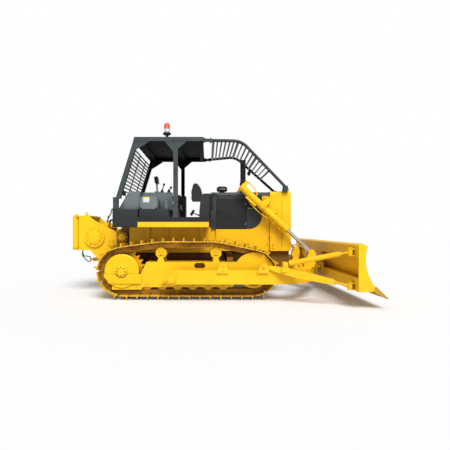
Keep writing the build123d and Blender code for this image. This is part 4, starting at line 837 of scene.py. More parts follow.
def points_with(name, places):
    """A mesh of bare points, each (position, facing, along)."""
    mesh = bpy.data.meshes.new(name)
    mesh.from_pydata([place[0] for place in places], [], [])
    for label, index in (("facing", 1), ("along", 2)):
        values = mesh.attributes.new(label, "FLOAT_VECTOR", "POINT").data
        for value, place in zip(values, places):
            value.vector = place[index] if len(place) > index else (0.11, 0.27, 0.95)
    return linked(name, mesh)


fastener = fastener_tree()
placed_part = placed_part_tree()
counted = {}


def bolts(name, places, flats=0.024, body="hull", look="machine_yellow", head=None, sides=6):
    """Bolts at places of (position, facing), all of one size, on one body."""
    made = grown(name, points_with(name + "_points", places), fastener, Sides=sides, Across_Flats=flats,
                 Head_Height=head or flats * 0.45, Washer_Radius=flats * 0.78,
                 Washer_Height=flats * 0.12, Seed=len(name), Material=finish[look])
    counted[name] = len(places)
    return dressed_piece(made, None, body, 25)


def repeated(name, draw_part, places, look):
    """A drawn part at places of (position, facing, along), all on the hull."""
    part = drawn(name + "_part", draw_part)
    made = grown(name, points_with(name + "_points", places), placed_part, Part=part, Material=finish[look])
    bpy.data.objects.remove(part)
    counted[name] = len(places)
    return dressed_piece(made, None, "hull", 30)


# %% [markdown]
# ## The track chain
# Under the shoes runs a chain: forged links, bolted to the shoes, and each joined to the next by a pin in
# a bushing. The CAD track is the belt of rails and shoes. Here each rail gets the link's outline, with
# its pin boss and nuts, and each shoe two rows of bolt heads. The pins are evenly spaced along the belt
# round idler, carrier rollers and sprocket, which is the hull of those four circles.

# %% Pins along the belt
track_middle = 1.0
pin_pitch = 0.216
idler, idler_radius = (0.878, 0.547), 0.402
drive, drive_radius = (-1.850, 0.5794), 0.4343
carriers, carrier_radius = [(-1.045, 0.953), (0.096, 0.953)], 0.170
belt_circles = [(*idler, idler_radius), *[(*centre, carrier_radius) for centre in reversed(carriers)],
                (*drive, drive_radius)]
belt_steps = 720


def belt_loop():
    """The taut belt round the circles as a fine closed line, from the idler's lowest point forwards."""
    cloud = [(x + r * cos(tau * k / belt_steps), z + r * sin(tau * k / belt_steps))
             for x, z, r in belt_circles for k in range(belt_steps)]
    order = geometry.convex_hull_2d(cloud)
    loop = [Vector(cloud[index]) for index in order]
    lowest = Vector((idler[0], idler[1] - idler_radius))
    start = min(range(len(loop)), key=lambda k: (loop[k] - lowest).length)
    return loop[start:] + loop[:start]


def spaced(loop, pitch):
    """Points evenly along a closed line, at about a pitch."""
    closed = loop + loop[:1]
    lengths = [(b - a).length for a, b in zip(closed, closed[1:])]
    total = sum(lengths)
    count = round(total / pitch)
    points, travelled, index = [], 0.0, 0
    for number in range(count):
        target = total * number / count
        while travelled + lengths[index] < target:
            travelled += lengths[index]
            index += 1
        points.append(closed[index].lerp(closed[index + 1], (target - travelled) / lengths[index]))
    return points


pins = spaced(belt_loop(), pin_pitch)
print("track pins:", len(pins))


# %% [markdown]
# ## One link, drawn once
# A link is a plate with a boss and a pin at its end, and two nuts on its back. It is drawn once in a frame
# of its own, and the tree sets it between every two pins.

# %% Links, pins and shoe bolts
rail_half = 0.120
shoe_face = 0.073


def draw_link(bm):
    """One forged link in its own frame: x along the chain, y sideways, z outwards; its pins are at z = 0."""
    half = pin_pitch / 2
    side = place_at((0, 0.0005, 0), (0, 1, 0), (-1, 0, 0))
    outline = [(-half - 0.030, 0.006), (-half - 0.022, 0.030), (-half + 0.028, 0.036), (-0.045, 0.020),
               (0.030, 0.020), (half - 0.034, 0.038), (half + 0.022, 0.030), (half + 0.030, -0.010),
               (half + 0.016, -0.036), (half - 0.040, -0.050), (-half + 0.030, -0.050),
               (-half - 0.024, -0.030)]
    slab(bm, side, [(-x, z) for x, z in outline], 0.010, 0.003)
    boss = [(0.036, 0), (0.036, 0.014), (0.030, 0.018), (0, 0.018)]
    pin_end = [(0.021, 0), (0.021, 0.016), (0.017, 0.020), (0, 0.020)]
    turned(bm, place_at((half, 0.002, 0), (0, 1, 0)), boss, 20)
    turned(bm, place_at((half, 0.012, 0), (0, 1, 0)), pin_end, 14)
    for x in (-0.036, 0.028):
        turned(bm, place_at((x, 0.002, 0.032), (0, 1, 0)), [(0.017, 0), (0.017, 0.012), (0, 0.012)], 6)


def chain(side, name):
    """The links of one track, two rails of them, and the bolts of its shoes."""
    places, bolted = [], []
    for a, b in zip(pins, pins[1:] + pins[:1]):
        along = (b - a).normalized()
        outward = Vector((along.y, -along.x))
        middle = (a + b) / 2
        for rail in (rail_half, -rail_half):
            y = side * track_middle + rail
            # the frame's z must be outwards and its y the rail's own outside
            ahead = along if rail < 0 else -along
            places.append(((middle.x, y, middle.y), (outward.x, 0, outward.y), (ahead.x, 0, ahead.y)))
        face = middle + outward * shoe_face
        for across in (-0.125, -0.070, 0.070, 0.125):
            for step in (-0.042, 0.030):
                spot = face + along * step
                bolted.append(((spot.x, side * track_middle + across, spot.y), (outward.x, 0, outward.y)))
    made = repeated(f"chain_links_{name}", draw_link, places, "chain_grease_and_shade")
    bolts(f"shoe_bolts_{name}", bolted, 0.030, look="worn_steel", head=0.012)
    print(made.name, len(places), "links,", len(made.data.polygons), "faces")


for side, name in reversed(flanks):
    chain(side, name)

# %% [markdown]
# ## Where a bolt lands
# A bolt seated on a guessed height floats or sinks. A straight line from outside meets the solids first
# where the bolt belongs, so each place below is only two numbers, and the third is measured.


# %% Landing on the solids
# lines start this far from the middle plane, beyond every solid
outside = 3.0


def skin_of(*names):
    """A search tree over the faces of some solids."""
    corners, faces = [], []
    for name in names:
        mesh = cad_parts[name].data
        start = len(corners)
        corners += [vertex.co.copy() for vertex in mesh.vertices]
        faces += [[start + index for index in face.vertices] for face in mesh.polygons]
    return BVHTree.FromPolygons(corners, faces)


def landed(skin, origin, toward):
    """The place where a line first meets the skin, and the way back along it."""
    spot = skin.ray_cast(Vector(origin), Vector(toward))[0]
    if spot is None:
        print("nothing is met from", origin)
        return []
    return [(spot, tuple(-part for part in toward))]


def on_flanks(names, places):
    """The same (x, z) places where both flanks of some solids are met from outside."""
    skin = skin_of(*names)
    return [place for side in mirrored for x, z in places
            for place in landed(skin, (x, side * outside, z), (0, -side, 0))]


def proud(places, height):
    """The same places, further out along the way they look."""
    return [(tuple(Vector(spot) + Vector(facing) * height), facing) for spot, facing in places]


def circle_of(x, z, radius, count, start=0.0):
    """(x, z) places evenly round a circle."""
    return [(x + radius * cos(start + tau * k / count), z + radius * sin(start + tau * k / count))
            for k in range(count)]


print("landing helpers ready")

# %% [markdown]
# ## Bolts on the hull
# Each group of bolts is one mesh of one size: large ones hold the guards that carry load, small ones
# the sheet of the hood. They are placed by the tree above, each turned by its own random angle.

# %% Bolts on hull and canopy
guard_sides = [(1.465, 1.907), (1.467, 1.827), (1.51, 1.739), (1.331, 1.307), (1.387, 1.123),
               (1.387, 1.038)]
bolts("guard_bolts", on_flanks(["radiator_guard"], guard_sides), 0.036)
bay_bolts = [(1.263, 1.123), (0.844, 1.123), (0.42, 1.123)]
bolts("bay_bolts", on_flanks(["engine_bay_sides", "radiator_guard"], bay_bolts), 0.034)
wall_bolts = [(-0.694 + dx, 1.351 + dz) for dx in (-0.05, 0.05) for dz in (-0.05, 0.05)]
bolts("wall_bolts", on_flanks(["fenders"], wall_bolts), 0.030)
hood_bolts = [(0.15 + 0.19 * k, 2.17) for k in range(6)]
bolts("hood_bolts", on_flanks(["engine_hood"], hood_bolts), 0.020, look="graphite_paint")
post_bolts = [(-0.745, 2.674), (-0.745, 2.612), (-0.745, 2.02)]
bolts("post_bolts", on_flanks(["canopy_frame"], post_bolts), 0.030, look="post_paint")
stub_bolts = [(-1.989 + dx, z) for dx in (-0.03, 0.03) for z in (1.94, 2.04)]
stub_bolts += [(-0.745 + dx, z) for dx in (-0.03, 0.03) for z in (1.75, 1.81)]
bolts("stub_bolts", on_flanks(["canopy_frame"], stub_bolts), 0.022, look="post_paint")
front_skin = skin_of("radiator_guard")
frame_places = [(side * 0.505, 1.06 + 0.19 * k) for side in mirrored for k in range(7)]
frame_places += [(-0.38 + 0.19 * k, z) for k in range(5) for z in (1.01, 2.25)]
guard_ahead = 2.2
front_bolts = [place for y, z in frame_places
               for place in landed(front_skin, (guard_ahead, y, z), (-1, 0, 0))]
bolts("guard_front_bolts", front_bolts, 0.024)
sweep_flange = [(-0.009, side * 1.038 + dy, 3.312 + dz) for side in mirrored for dy in (-0.036, 0.036)
                for dz in (-0.03, 0.03)]
bolts("sweep_flange_bolts", [(place, (1, 0, 0)) for place in sweep_flange], 0.018, look="post_paint")
print(counted)

# %% [markdown]
# ## Undercarriage covers
# The sprocket hides behind a smooth dished cover with one ring of bolts, and each roller turns on a shaft
# whose end is capped and held by three small bolts round a red filler plug.

# %% Hub and roller caps
bolts("drive_cap_bolts", on_flanks(["sprockets"], circle_of(*drive, 0.086, 8)), 0.022, look="chain_grease_and_shade")
roller_places = [(-1.334 + 0.316 * k, 0.3033) for k in range(6)]
capped = [(x, z, 0.052) for x, z in roller_places] + [(*idler, 0.050)]
cap_step = 0.012


def cap_with_step(bm, place, radius):
    """A round cap with one step and a dished middle."""
    turned(bm, place, [(radius, 0), (radius, 0.005), (radius * 0.86, 0.008), (radius * 0.86, cap_step),
                       (radius * 0.40, 0.013), (radius * 0.36, 0.010), (0, 0.010)], 24)


def draw_roller_caps(bm):
    for x, z, radius in capped:
        for spot, facing in on_flanks(["bottom_rollers", "track_frames"], [(x, z)]):
            cap_with_step(bm, place_at(spot, facing), radius)


def draw_plugs(bm):
    for x, z, radius in capped + [(-1.62, 0.459, 0.05)]:
        for spot, facing in on_flanks(["bottom_rollers", "track_frames", "final_drives"], [(x, z)]):
            turned(bm, place_at(spot, facing), [(0.011, 0), (0.011, 0.019), (0.007, 0.022), (0, 0.022)], 12)


piece("roller_caps", draw_roller_caps, "machine_yellow")
piece("filler_plugs", draw_plugs, "red_cap")
cap_ring = [place for x, z, radius in capped for place in circle_of(x, z, radius * 0.66, 3, 0.5)]
bolts("roller_cap_bolts", proud(on_flanks(["bottom_rollers", "track_frames"], cap_ring), cap_step), 0.015)
bolts("roller_guard_bolts", on_flanks(["track_frames"], [(-1.55, 0.27)]), 0.032)


def draw_carrier_caps(bm):
    for spot, facing in on_flanks(["carrier_rollers"], carriers):
        cap_with_step(bm, place_at(spot, facing), 0.060)
        turned(bm, place_at(spot, facing), [(0.014, 0), (0.014, 0.020), (0.010, 0.024), (0, 0.024)], 6)


piece("carrier_caps", draw_carrier_caps, "machine_yellow")
carrier_ring = [place for x, z in carriers for place in circle_of(x, z, 0.040, 3, 0.5)]
bolts("carrier_cap_bolts", proud(on_flanks(["carrier_rollers"], carrier_ring), cap_step), 0.016,
      look="chain_grease_and_shade")
trunnion = (-0.797, 0.480)
bolts("trunnion_bolts", on_flanks(["track_frames"], circle_of(*trunnion, 0.080, 6, 0.3)), 0.028)
print("filler plugs:", len(capped) * 2 + 2)

# %% [markdown]
# ## Bosses and pins on the push frame
# The strut can be pinned in several holes of the arm, so a hole wears a welded boss. The arm rides on
# the push frame's body, and so does everything bolted to it.

# %% Push frame hardware
strut_holes = [(0.237, 0.645), (1.037, 0.709)]
boss_profile = [(0.036, 0), (0.036, 0.006), (0.030, 0.010), (0.018, 0.010), (0.016, 0.016), (0, 0.016)]


def draw_strut_bosses(bm):
    skin = skin_of("c_frame", "strut_pins", "struts")
    for side in mirrored:
        for x, z in strut_holes:
            for spot, facing in landed(skin, (x, side * outside, z), (0, -side, 0)):
                turned(bm, place_at(spot, facing), boss_profile, 20)


piece("strut_bosses", draw_strut_bosses, "blade_yellow", "push_frame")
edge_skin = skin_of("cutting_edge")
edge_facing = Vector((0.684, 0, 0.73)).normalized()
edge_half, edge_pitch, edge_bolt_count = 1.98, 0.198, 21
edge_starts = [Vector((2.99, -edge_half + edge_pitch * k, 0.351)) + edge_facing * 0.3
               for k in range(edge_bolt_count)]
edge_spots = [place for start in edge_starts for place in landed(edge_skin, start, -edge_facing)]


def draw_edge_bolts(bm):
    """Plough bolts: flat heads that stand only a little proud of the blade's edge."""
    for spot, facing in edge_spots:
        turned(bm, place_at(spot, facing), [(0.019, -0.001), (0.019, 0.002), (0.014, 0.004), (0, 0.004)],
               16)


piece("cutting_edge_bolts", draw_edge_bolts, "worn_steel", "push_frame")
print("edge bolts:", len(edge_spots))

# %% [markdown]
# ## Winch covers
# The winch's gears sit behind a domed cover inside a ring of bolts, and the case ahead of it has a
# smaller round cover. The vertical rollers of the fairlead turn on pins with nuts at their tops.

# %% Winch and fairlead hardware
winch_centre = (-2.65, 1.27)
case_centre = (-2.01, 1.27)
lug_plate, lug_thickness = (-2.276, 1.134), 0.016


def draw_winch_covers(bm):
    skin = skin_of("winch_housing", "rear_case")
    for side in mirrored:
        for (x, z), radius, dome in ((winch_centre, 0.165, 0.034), (case_centre, 0.080, 0.020)):
            for spot, facing in landed(skin, (x, side * outside, z), (0, -side, 0)):
                profile = [(radius, 0), (radius, dome * 0.4), (radius * 0.97, dome * 0.55),
                           (radius * 0.80, dome * 0.6), (radius * 0.72, dome * 0.9),
                           (radius * 0.45, dome), (0, dome)]
                turned(bm, place_at(spot, facing), profile, 40)
        for spot, facing in landed(skin, (lug_plate[0], side * outside, lug_plate[1]), (0, -side, 0)):
            slab(bm, place_at(spot, facing), rounded(0.13, 0.13, 0.012), lug_thickness, 0.003)


piece("winch_covers", draw_winch_covers, "machine_yellow")
winch_parts = ["winch_housing", "rear_case"]
bolts("winch_ring_bolts", on_flanks(winch_parts, circle_of(*winch_centre, 0.197, 12)), 0.030)
bolts("case_ring_bolts", on_flanks(winch_parts, circle_of(*case_centre, 0.105, 8)), 0.020)
cover_ring = on_flanks(winch_parts, circle_of(*winch_centre, 0.142, 8, 0.3))
bolts("winch_cover_bolts", proud(cover_ring, 0.020), 0.022)
lug_corners = [(lug_plate[0] + dx, lug_plate[1] + dz) for dx in (-0.042, 0.042) for dz in (-0.042, 0.042)]
bolts("lug_plate_bolts", proud(on_flanks(winch_parts, lug_corners), lug_thickness), 0.022)


def draw_fairlead_nuts(bm):
    skin = skin_of("fairlead_frame")
    for side in mirrored:
        for spot, facing in landed(skin, (-3.095, side * 0.30, 3), (0, 0, -1)):
            place = place_at(spot + Vector((0, side * 0.035, 0)), facing)
            turned(bm, place, [(0.046, 0), (0.046, 0.008), (0.040, 0.012), (0, 0.012)], 24)
            turned(bm, place, [(0.028, 0.011), (0.028, 0.030), (0.024, 0.034), (0, 0.034)], 6)


piece("fairlead_nuts", draw_fairlead_nuts, "machine_yellow")
print("winch bolts:", counted["winch_ring_bolts"] + counted["winch_cover_bolts"])

# %% [markdown]
# ## The guard's flank
# The front guard is bolted together from a side plate and a front frame. The joint between them shows as
# a thin dark line from top to bottom.

# %% Guard seams
seam_x, seam_low, seam_high = 1.586, 1.05, 2.13


def draw_guard_seams(bm):
    skin = skin_of("radiator_guard")
    for side in mirrored:
        for spot, facing in landed(skin, (seam_x, side * outside, 1.8), (0, -side, 0)):
            place = place_at((spot.x, spot.y - side * 0.001, (seam_low + seam_high) / 2), facing)
            slab(bm, place, rectangle(seam_high - seam_low, 0.010), 0.004, 0.001)


piece("guard_seams", draw_guard_seams, "chain_grease_and_shade")
print("guard seams at x =", seam_x)

# %% [markdown]
# ## Guards over the final drives
# Below the drive's hub, a flat guard keeps mud out of the seal. It leaves the hub free and ends on the
# track frame, on a spacer. A flat shape with broken edges is all that it needs.

# %% Drive guards
hub_clearance = 0.137
hub_arc = [(drive[0] + hub_clearance * cos(radians(a)), drive[1] + hub_clearance * sin(radians(a)))
           for a in range(-26, -155, -8)]
guard_outline = [(-2.195, 0.545), (-2.212, 0.500), (-2.200, 0.455), (-2.100, 0.325), (-1.440, 0.325),
                 (-1.440, 0.520)] + hub_arc + [(-2.150, 0.520)]


def side_frame(side, y):
    """A frame on a flank: x forwards, z outwards; on the left side its y looks down."""
    return place_at((0, side * y, 0), (0, side, 0), (1, 0, 0))


def flank_outline(side, outline):
    """(x, z) points written in the side frame, whose y is up on the right flank and down on the left."""
    return [(x, -side * z) for x, z in outline]


def draw_drive_guards(bm):
    for side in mirrored:
        slab(bm, side_frame(side, 1.219), flank_outline(side, guard_outline), 0.013, 0.003)
        slab(bm, side_frame(side, 1.1895), flank_outline(side, rectangle(0.055, 0.085, -1.470, 0.475)),
             0.030, 0.002)


piece("drive_guards", draw_drive_guards, "machine_yellow")
guard_screws = [((x, side * 1.232, z), (0, side, 0)) for side in mirrored
                for x, z in ((-2.13, 0.42), (-2.03, 0.36), (-1.56, 0.36), (-1.48, 0.47), (-1.60, 0.47))]
bolts("drive_guard_bolts", guard_screws, 0.024)
print("guard outline points:", len(guard_outline))

# %% [markdown]
# ## The beacon
# A rotating beacon is a dark base, a clear sleeve and a red dome. Three turned shapes stand for the one
# plain solid, so that each has its own finish.

# %% Beacon
beacon_at = place_at((-0.932, -1.050, 0), (0, 0, 1))


def draw_beacon_base(bm):
    turned(bm, beacon_at, [(0.055, 3.3605), (0.055, 3.368), (0.034, 3.380), (0.030, 3.388), (0.030, 3.428),
                           (0.078, 3.434), (0.084, 3.442), (0.084, 3.464), (0.078, 3.470), (0, 3.470)], 36)


def draw_beacon_sleeve(bm):
    turned(bm, beacon_at, [(0.060, 3.4705), (0.062, 3.474), (0.062, 3.500), (0.064, 3.504), (0.062, 3.508),
                           (0.062, 3.552), (0, 3.552)], 36)


def draw_beacon_dome(bm):
    turned(bm, beacon_at, [(0.065, 3.5525), (0.065, 3.564), (0.062, 3.568), (0.061, 3.630), (0.055, 3.652),
                           (0.042, 3.668), (0.022, 3.677), (0, 3.679)], 36)


piece("beacon_base", draw_beacon_base, "black_plastic")
piece("beacon_sleeve", draw_beacon_sleeve, "clear_lens")
beacon_dome = piece("beacon_dome", draw_beacon_dome, "amber_lens", crease=50)
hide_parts("beacon")
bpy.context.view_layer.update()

# %% [markdown]
# ## Small things on hood, tanks and roof
# Lamps, caps, handles and plates tell an operator's eye that this is a machine and not a model of one.
# Each is a few turned or flat shapes, seated on the solids.

# %% Lamps
def lamp_body(bm, place, radius=0.062, depth=0.075):
    """A round housing with a rim."""
    turned(bm, place, [(0.018, -depth), (radius * 0.6, -depth), (radius * 0.92, -depth * 0.6),
                       (radius, -0.014), (radius, 0.004), (radius * 0.90, 0.004), (radius * 0.90, -0.006),
                       (0, -0.006)], 28)


def lamp_glass(bm, place, radius=0.062):
    """The domed glass inside the rim."""
    turned(bm, place, [(radius * 0.89, -0.0055), (radius * 0.89, -0.001), (radius * 0.60, 0.003),
                       (0, 0.005)], 28)


sweep_lamp = place_at((1.030, 0.780, 2.900), (1, 0, -0.25))
rear_lamp = place_at((-1.905, -0.870, 2.215), (-1, 0, -0.2))


def draw_lamp_bodies(bm):
    lamp_body(bm, sweep_lamp)
    lamp_body(bm, rear_lamp, 0.055, 0.065)
    pipe(bm, [(1.000, 0.780, 2.915), (0.998, 0.785, 2.960), (0.992, 0.790, 3.005)], 0.009)
    pipe(bm, [(-1.870, -0.870, 2.215), (-1.845, -0.870, 2.180), (-1.835, -0.870, 2.130)], 0.009)


def draw_lamp_glasses(bm):
    lamp_glass(bm, sweep_lamp)
    lamp_glass(bm, rear_lamp, 0.055)


piece("lamp_bodies", draw_lamp_bodies, "black_plastic")
piece("lamp_glasses", draw_lamp_glasses, "clear_lens")

# %% [markdown]
# ## Latches, rails, clamps and caps
# Thin sheet needs latches and a grab rail, pipes need clamps, and tanks need caps and straps. A few flat,
# turned or bent shapes are quicker here than a tree, because each stands in one or two places only.

# %% Hood trim, caps and plate
hood_side = 0.4995
precleaner_x, exhaust_x = 0.265, 0.767


def draw_hood_trim(bm):
    """Latches on the hood's shoulders and the grab rail at its rear corner."""
    for side in mirrored:
        for x in (0.133, 0.415):
            latch = place_at((x, side * hood_side, 2.212), (0, side, 0), (1, 0, 0))
            slab(bm, latch, rounded(0.070, 0.024, 0.011), 0.006, 0.002)
        rail = [(0.022, 0.498, 1.915), (0.022, 0.535, 1.925), (0.022, 0.540, 2.060), (0.024, 0.540, 2.200),
                (0.050, 0.536, 2.232), (0.070, 0.498, 2.235)]
        pipe(bm, soft_line([(x, side * y, z) for x, y, z in rail]), 0.010)
        for x, z in ((0.022, 1.915), (0.070, 2.235)):
            rail_foot = [(0.022, 0), (0.022, 0.004), (0.016, 0.007), (0, 0.007)]
            turned(bm, place_at((x, side * hood_side, z), (0, side, 0)), rail_foot, 18)


def draw_precleaner_band(bm):
    place = place_at((precleaner_x, 0, 0), (0, 0, 1))
    lathe_ring(bm, place, [(0.1285, 2.385), (0.1315, 2.388), (0.1315, 2.402), (0.1285, 2.405)], 40)
    lathe_ring(bm, place, [(0.0625, 2.292), (0.070, 2.294), (0.070, 2.312), (0.0625, 2.314)], 32)
    clasp = place_at((precleaner_x, -0.1312, 2.395), (0, -1, 0), (1, 0, 0))
    slab(bm, clasp, rounded(0.034, 0.016, 0.004), 0.008, 0.002)


def draw_exhaust_bands(bm):
    place = place_at((exhaust_x, 0, 0), (0, 0, 1))
    for z in (2.60, 3.02):
        clamp = [(0.0645, z), (0.0675, z + 0.003), (0.0675, z + 0.021), (0.0645, z + 0.024)]
        lathe_ring(bm, place, clamp, 36)
    top_rim = [(0.057, 3.084), (0.0660, 3.084), (0.0675, 3.090), (0.0660, 3.096), (0.0575, 3.096)]
    lathe_ring(bm, place, top_rim, 36)


def draw_filter_ribs(bm):
    place = place_at((-0.950, -1.000, 0), (0, 0, 1))
    for k in range(5):
        z = 1.885 + 0.034 * k
        rib = [(0.0585, z), (0.0615, z + 0.003), (0.0615, z + 0.010), (0.0585, z + 0.013)]
        lathe_ring(bm, place, rib, 32)
    turned(bm, place, [(0.030, 2.0528), (0.030, 2.068), (0.024, 2.074), (0, 2.074)], 6)


def draw_tank_caps(bm):
    for x, y, z, radius in ((-1.620, 0.500, 2.2895, 0.062), (-1.300, -0.760, 2.1425, 0.046)):
        place = place_at((x, y, z), (0, 0, 1))
        profile = [(radius, 0), (radius, 0.016), (radius * 0.92, 0.022), (radius * 0.35, 0.024), (0, 0.024)]
        turned(bm, place, profile, 12)
        grip = place_at((x, y, z + 0.022), (0, 0, 1), (1, 0.4, 0))
        slab(bm, grip, rounded(radius * 1.5, 0.016, 0.006), 0.014, 0.003)


piece("hood_trim", draw_hood_trim, "black_paint")
piece("precleaner_bands", draw_precleaner_band, "zinc")
piece("exhaust_bands", draw_exhaust_bands, "burnt_steel")
piece("filter_ribs", draw_filter_ribs, "grey_plastic")
piece("tank_caps", draw_tank_caps, "black_plastic")


plate_x, plate_y, plate_width = -1.361, -1.1003, 0.132


def draw_plate(bm):
    place = place_at((plate_x, plate_y, 2.054), (0, -1, 0), (1, 0, 0))
    slab(bm, place, rounded(plate_width, 0.092, 0.004), 0.002, 0.0005)


def draw_plate_band(bm):
    place = place_at((plate_x, plate_y, 2.112), (0, -1, 0), (1, 0, 0))
    slab(bm, place, rounded(plate_width, 0.022, 0.004), 0.002, 0.0005)


piece("blank_plate", draw_plate, "blank_plate")
piece("blank_plate_band", draw_plate_band, "machine_yellow")


tank_middle, tank_half = -1.312, 0.1782


def draw_tank_straps(bm):
    """The straps down the tank's front and back, and the rail of the filter guard."""
    for y in (-0.72, -1.02):
        for side in mirrored:
            place = place_at((tank_middle + side * tank_half, y, 2.02), (side, 0, 0), (0, 0, 1))
            slab(bm, place, rectangle(0.22, 0.028), 0.004, 0.001)
    guard_rail = place_at((-0.930, -1.1095, 1.790), (0, -1, 0), (1, 0, 0))
    slab(bm, guard_rail, rounded(0.026, 0.12, 0.006), 0.006, 0.001)


piece("tank_straps", draw_tank_straps, "console_paint")
print("trim pieces done")

# %% [markdown]
# ## Pieces that ride on a door
# A handle, a latch and hinge screws turn with the door that carries them. They are drawn where the shut
# door is, and the body that each is given takes them along when the door opens.

# %% Door handles, riding on the doors
for side, name in flanks:
    def draw_handle(bm, side=side):
        """A pull that lies in the door's recess, and a turn latch above it."""
        pull = [(0.150, 0.490), (0.156, 0.508), (0.179, 0.511), (0.203, 0.508), (0.209, 0.490)]
        pipe(bm, soft_line([(x, side * y, 1.833) for x, y in pull]), 0.006)
        latch = [(0.016, 0), (0.016, 0.005), (0.010, 0.008), (0, 0.008)]
        turned(bm, place_at((0.180, side * 0.5002, 1.885), (0, side, 0)), latch, 20)
    piece(f"door_handle_{name}", draw_handle, "black_plastic", f"engine_door_{name}")
    screws = [((0.775, side * 0.5032, z + dz), (0, side, 0)) for z in (1.54, 1.99) for dz in (0.015, 0.045)]
    bolts(f"door_screws_{name}", screws, 0.012, f"engine_door_{name}", "zinc", sides=6)
print("door pieces ride on their doors")

# %% [markdown]
# ## Gauges and controls
# Round gauges with bezels sit on the panel, rubber boots on the feet of the levers, and ribbed pads on
# the pedals. The faces carry only the marks that every dial has.

# %% Gauges, boots and pedal pads
panel_x = -0.4502
upper_row, lower_row = 2.300, 2.190
gauge_places = [((panel_x, y, upper_row), 0.046) for y in (-0.19, -0.065, 0.065, 0.19)]
gauge_places += [((panel_x, y, lower_row), 0.034) for y in (-0.20, -0.12, -0.04, 0.04)]


def draw_bezels(bm):
    """Rims round the gauges, and three switches below them."""
    for spot, radius in gauge_places:
        lathe_ring(bm, place_at(spot, (-1, 0, 0)), [(radius * 0.86, 0), (radius, 0), (radius, 0.005),
                                                    (radius * 0.92, 0.009), (radius * 0.86, 0.006)], 32)
    for y in (0.13, 0.18, 0.23):
        knob = [(0.013, 0), (0.013, 0.006), (0.006, 0.008), (0.006, 0.022), (0, 0.024)]
        turned(bm, place_at((panel_x, y, lower_row), (-1, 0, 0)), knob, 16)


def draw_dials(bm):
    for spot, radius in gauge_places:
        turned(bm, place_at(spot, (-1, 0, 0)), [(radius * 0.865, 0.0004), (radius * 0.865, 0.0024),
                                                (0, 0.0026)], 32)


def draw_dial_marks(bm):
    for spot, radius in gauge_places:
        place = place_at((spot[0] - 0.0027, spot[1], spot[2]), (-1, 0, 0))
        for k in range(9):
            angle = radians(-30 + 30 * k)
            middle = (radius * 0.70 * cos(angle), radius * 0.70 * sin(angle))
            turn = place @ Matrix.Translation((*middle, 0)) @ Matrix.Rotation(angle, 4, "Z")
            slab(bm, turn, rectangle(radius * 0.16, radius * 0.035), 0.0006, 0)
        needle = rectangle(radius * 0.62, radius * 0.05, radius * 0.25)
        slab(bm, place @ Matrix.Rotation(radians(110), 4, "Z"), needle, 0.0010, 0)


piece("gauge_bezels", draw_bezels, "black_plastic")
piece("gauge_dials", draw_dials, "gauge_face")
piece("gauge_marks", draw_dial_marks, "blank_plate")
lever_feet = [(-1.080, -0.690, 2.250), (-0.930, -0.690, 2.250), (-0.725, -0.560, 1.700),
              (-0.730, 0.480, 1.700)]


def draw_boots(bm):
    for x, y, z in lever_feet:
        profile = [(0.052, 0.0004), (0.052, 0.006)]
        for k in range(4):
            radius = 0.046 - 0.007 * k
            profile += [(radius, 0.010 + 0.016 * k), (radius - 0.008, 0.018 + 0.016 * k)]
        turned(bm, place_at((x, y, z), (0, 0, 1)), profile + [(0.012, 0.078), (0, 0.078)], 28)


def draw_pads(bm):
    for y in (-0.18, 0.0, 0.18):
        place = place_at((-0.4445, y, 1.8555), (-0.851, 0, 0.525), (0.525, 0, 0.851))
        for k in range(5):
            slab(bm, place, rounded(0.010, 0.092, 0.004, -0.044 + 0.022 * k, 0), 0.007, 0.0015)


piece("lever_boots", draw_boots, "rubber")
piece("pedal_pads", draw_pads, "rubber")
print("gauges:", len(gauge_places))

# %% [markdown]
# ## Pipes along the lift cylinders
# Oil reaches a lift cylinder through its trunnions, a valve block and two pipes that lie along the
# barrel. All of it swings with the barrel, so it is drawn in the barrel's own directions: u along the
# barrel and v across it, upwards.

# %% Barrel pipes
lift_pin, lift_half = (1.117, 1.957), 0.700
barrel_along = Vector((0.725446703, 0, -0.688278345))
barrel_across = Vector((0.688278345, 0, 0.725446703))
gland_end, cap_end, end_ring = 0.7502, -0.6352, 0.066


def on_barrel(side, u, v):
    """The point of one barrel's middle plane at u and v."""
    return Vector((lift_pin[0], side * lift_half, lift_pin[1])) + barrel_along * u + barrel_across * v


def end_bolts(side, u, facing):
    """Places of eight bolts on an end of the barrel."""
    end = place_at(on_barrel(side, u, 0), facing)
    return [(spot, tuple(facing)) for spot in ring_points(end, end_ring, 0, 8)]


def barrel_ring(bm, side, u, inner, outer, width):
    """A band round the barrel from u onwards."""
    place = place_at(on_barrel(side, u, 0), barrel_along)
    lathe_ring(bm, place, [(inner, 0), (outer - 0.002, 0), (outer, 0.002), (outer, width - 0.002),
                           (outer - 0.002, width), (inner, width)], 40)


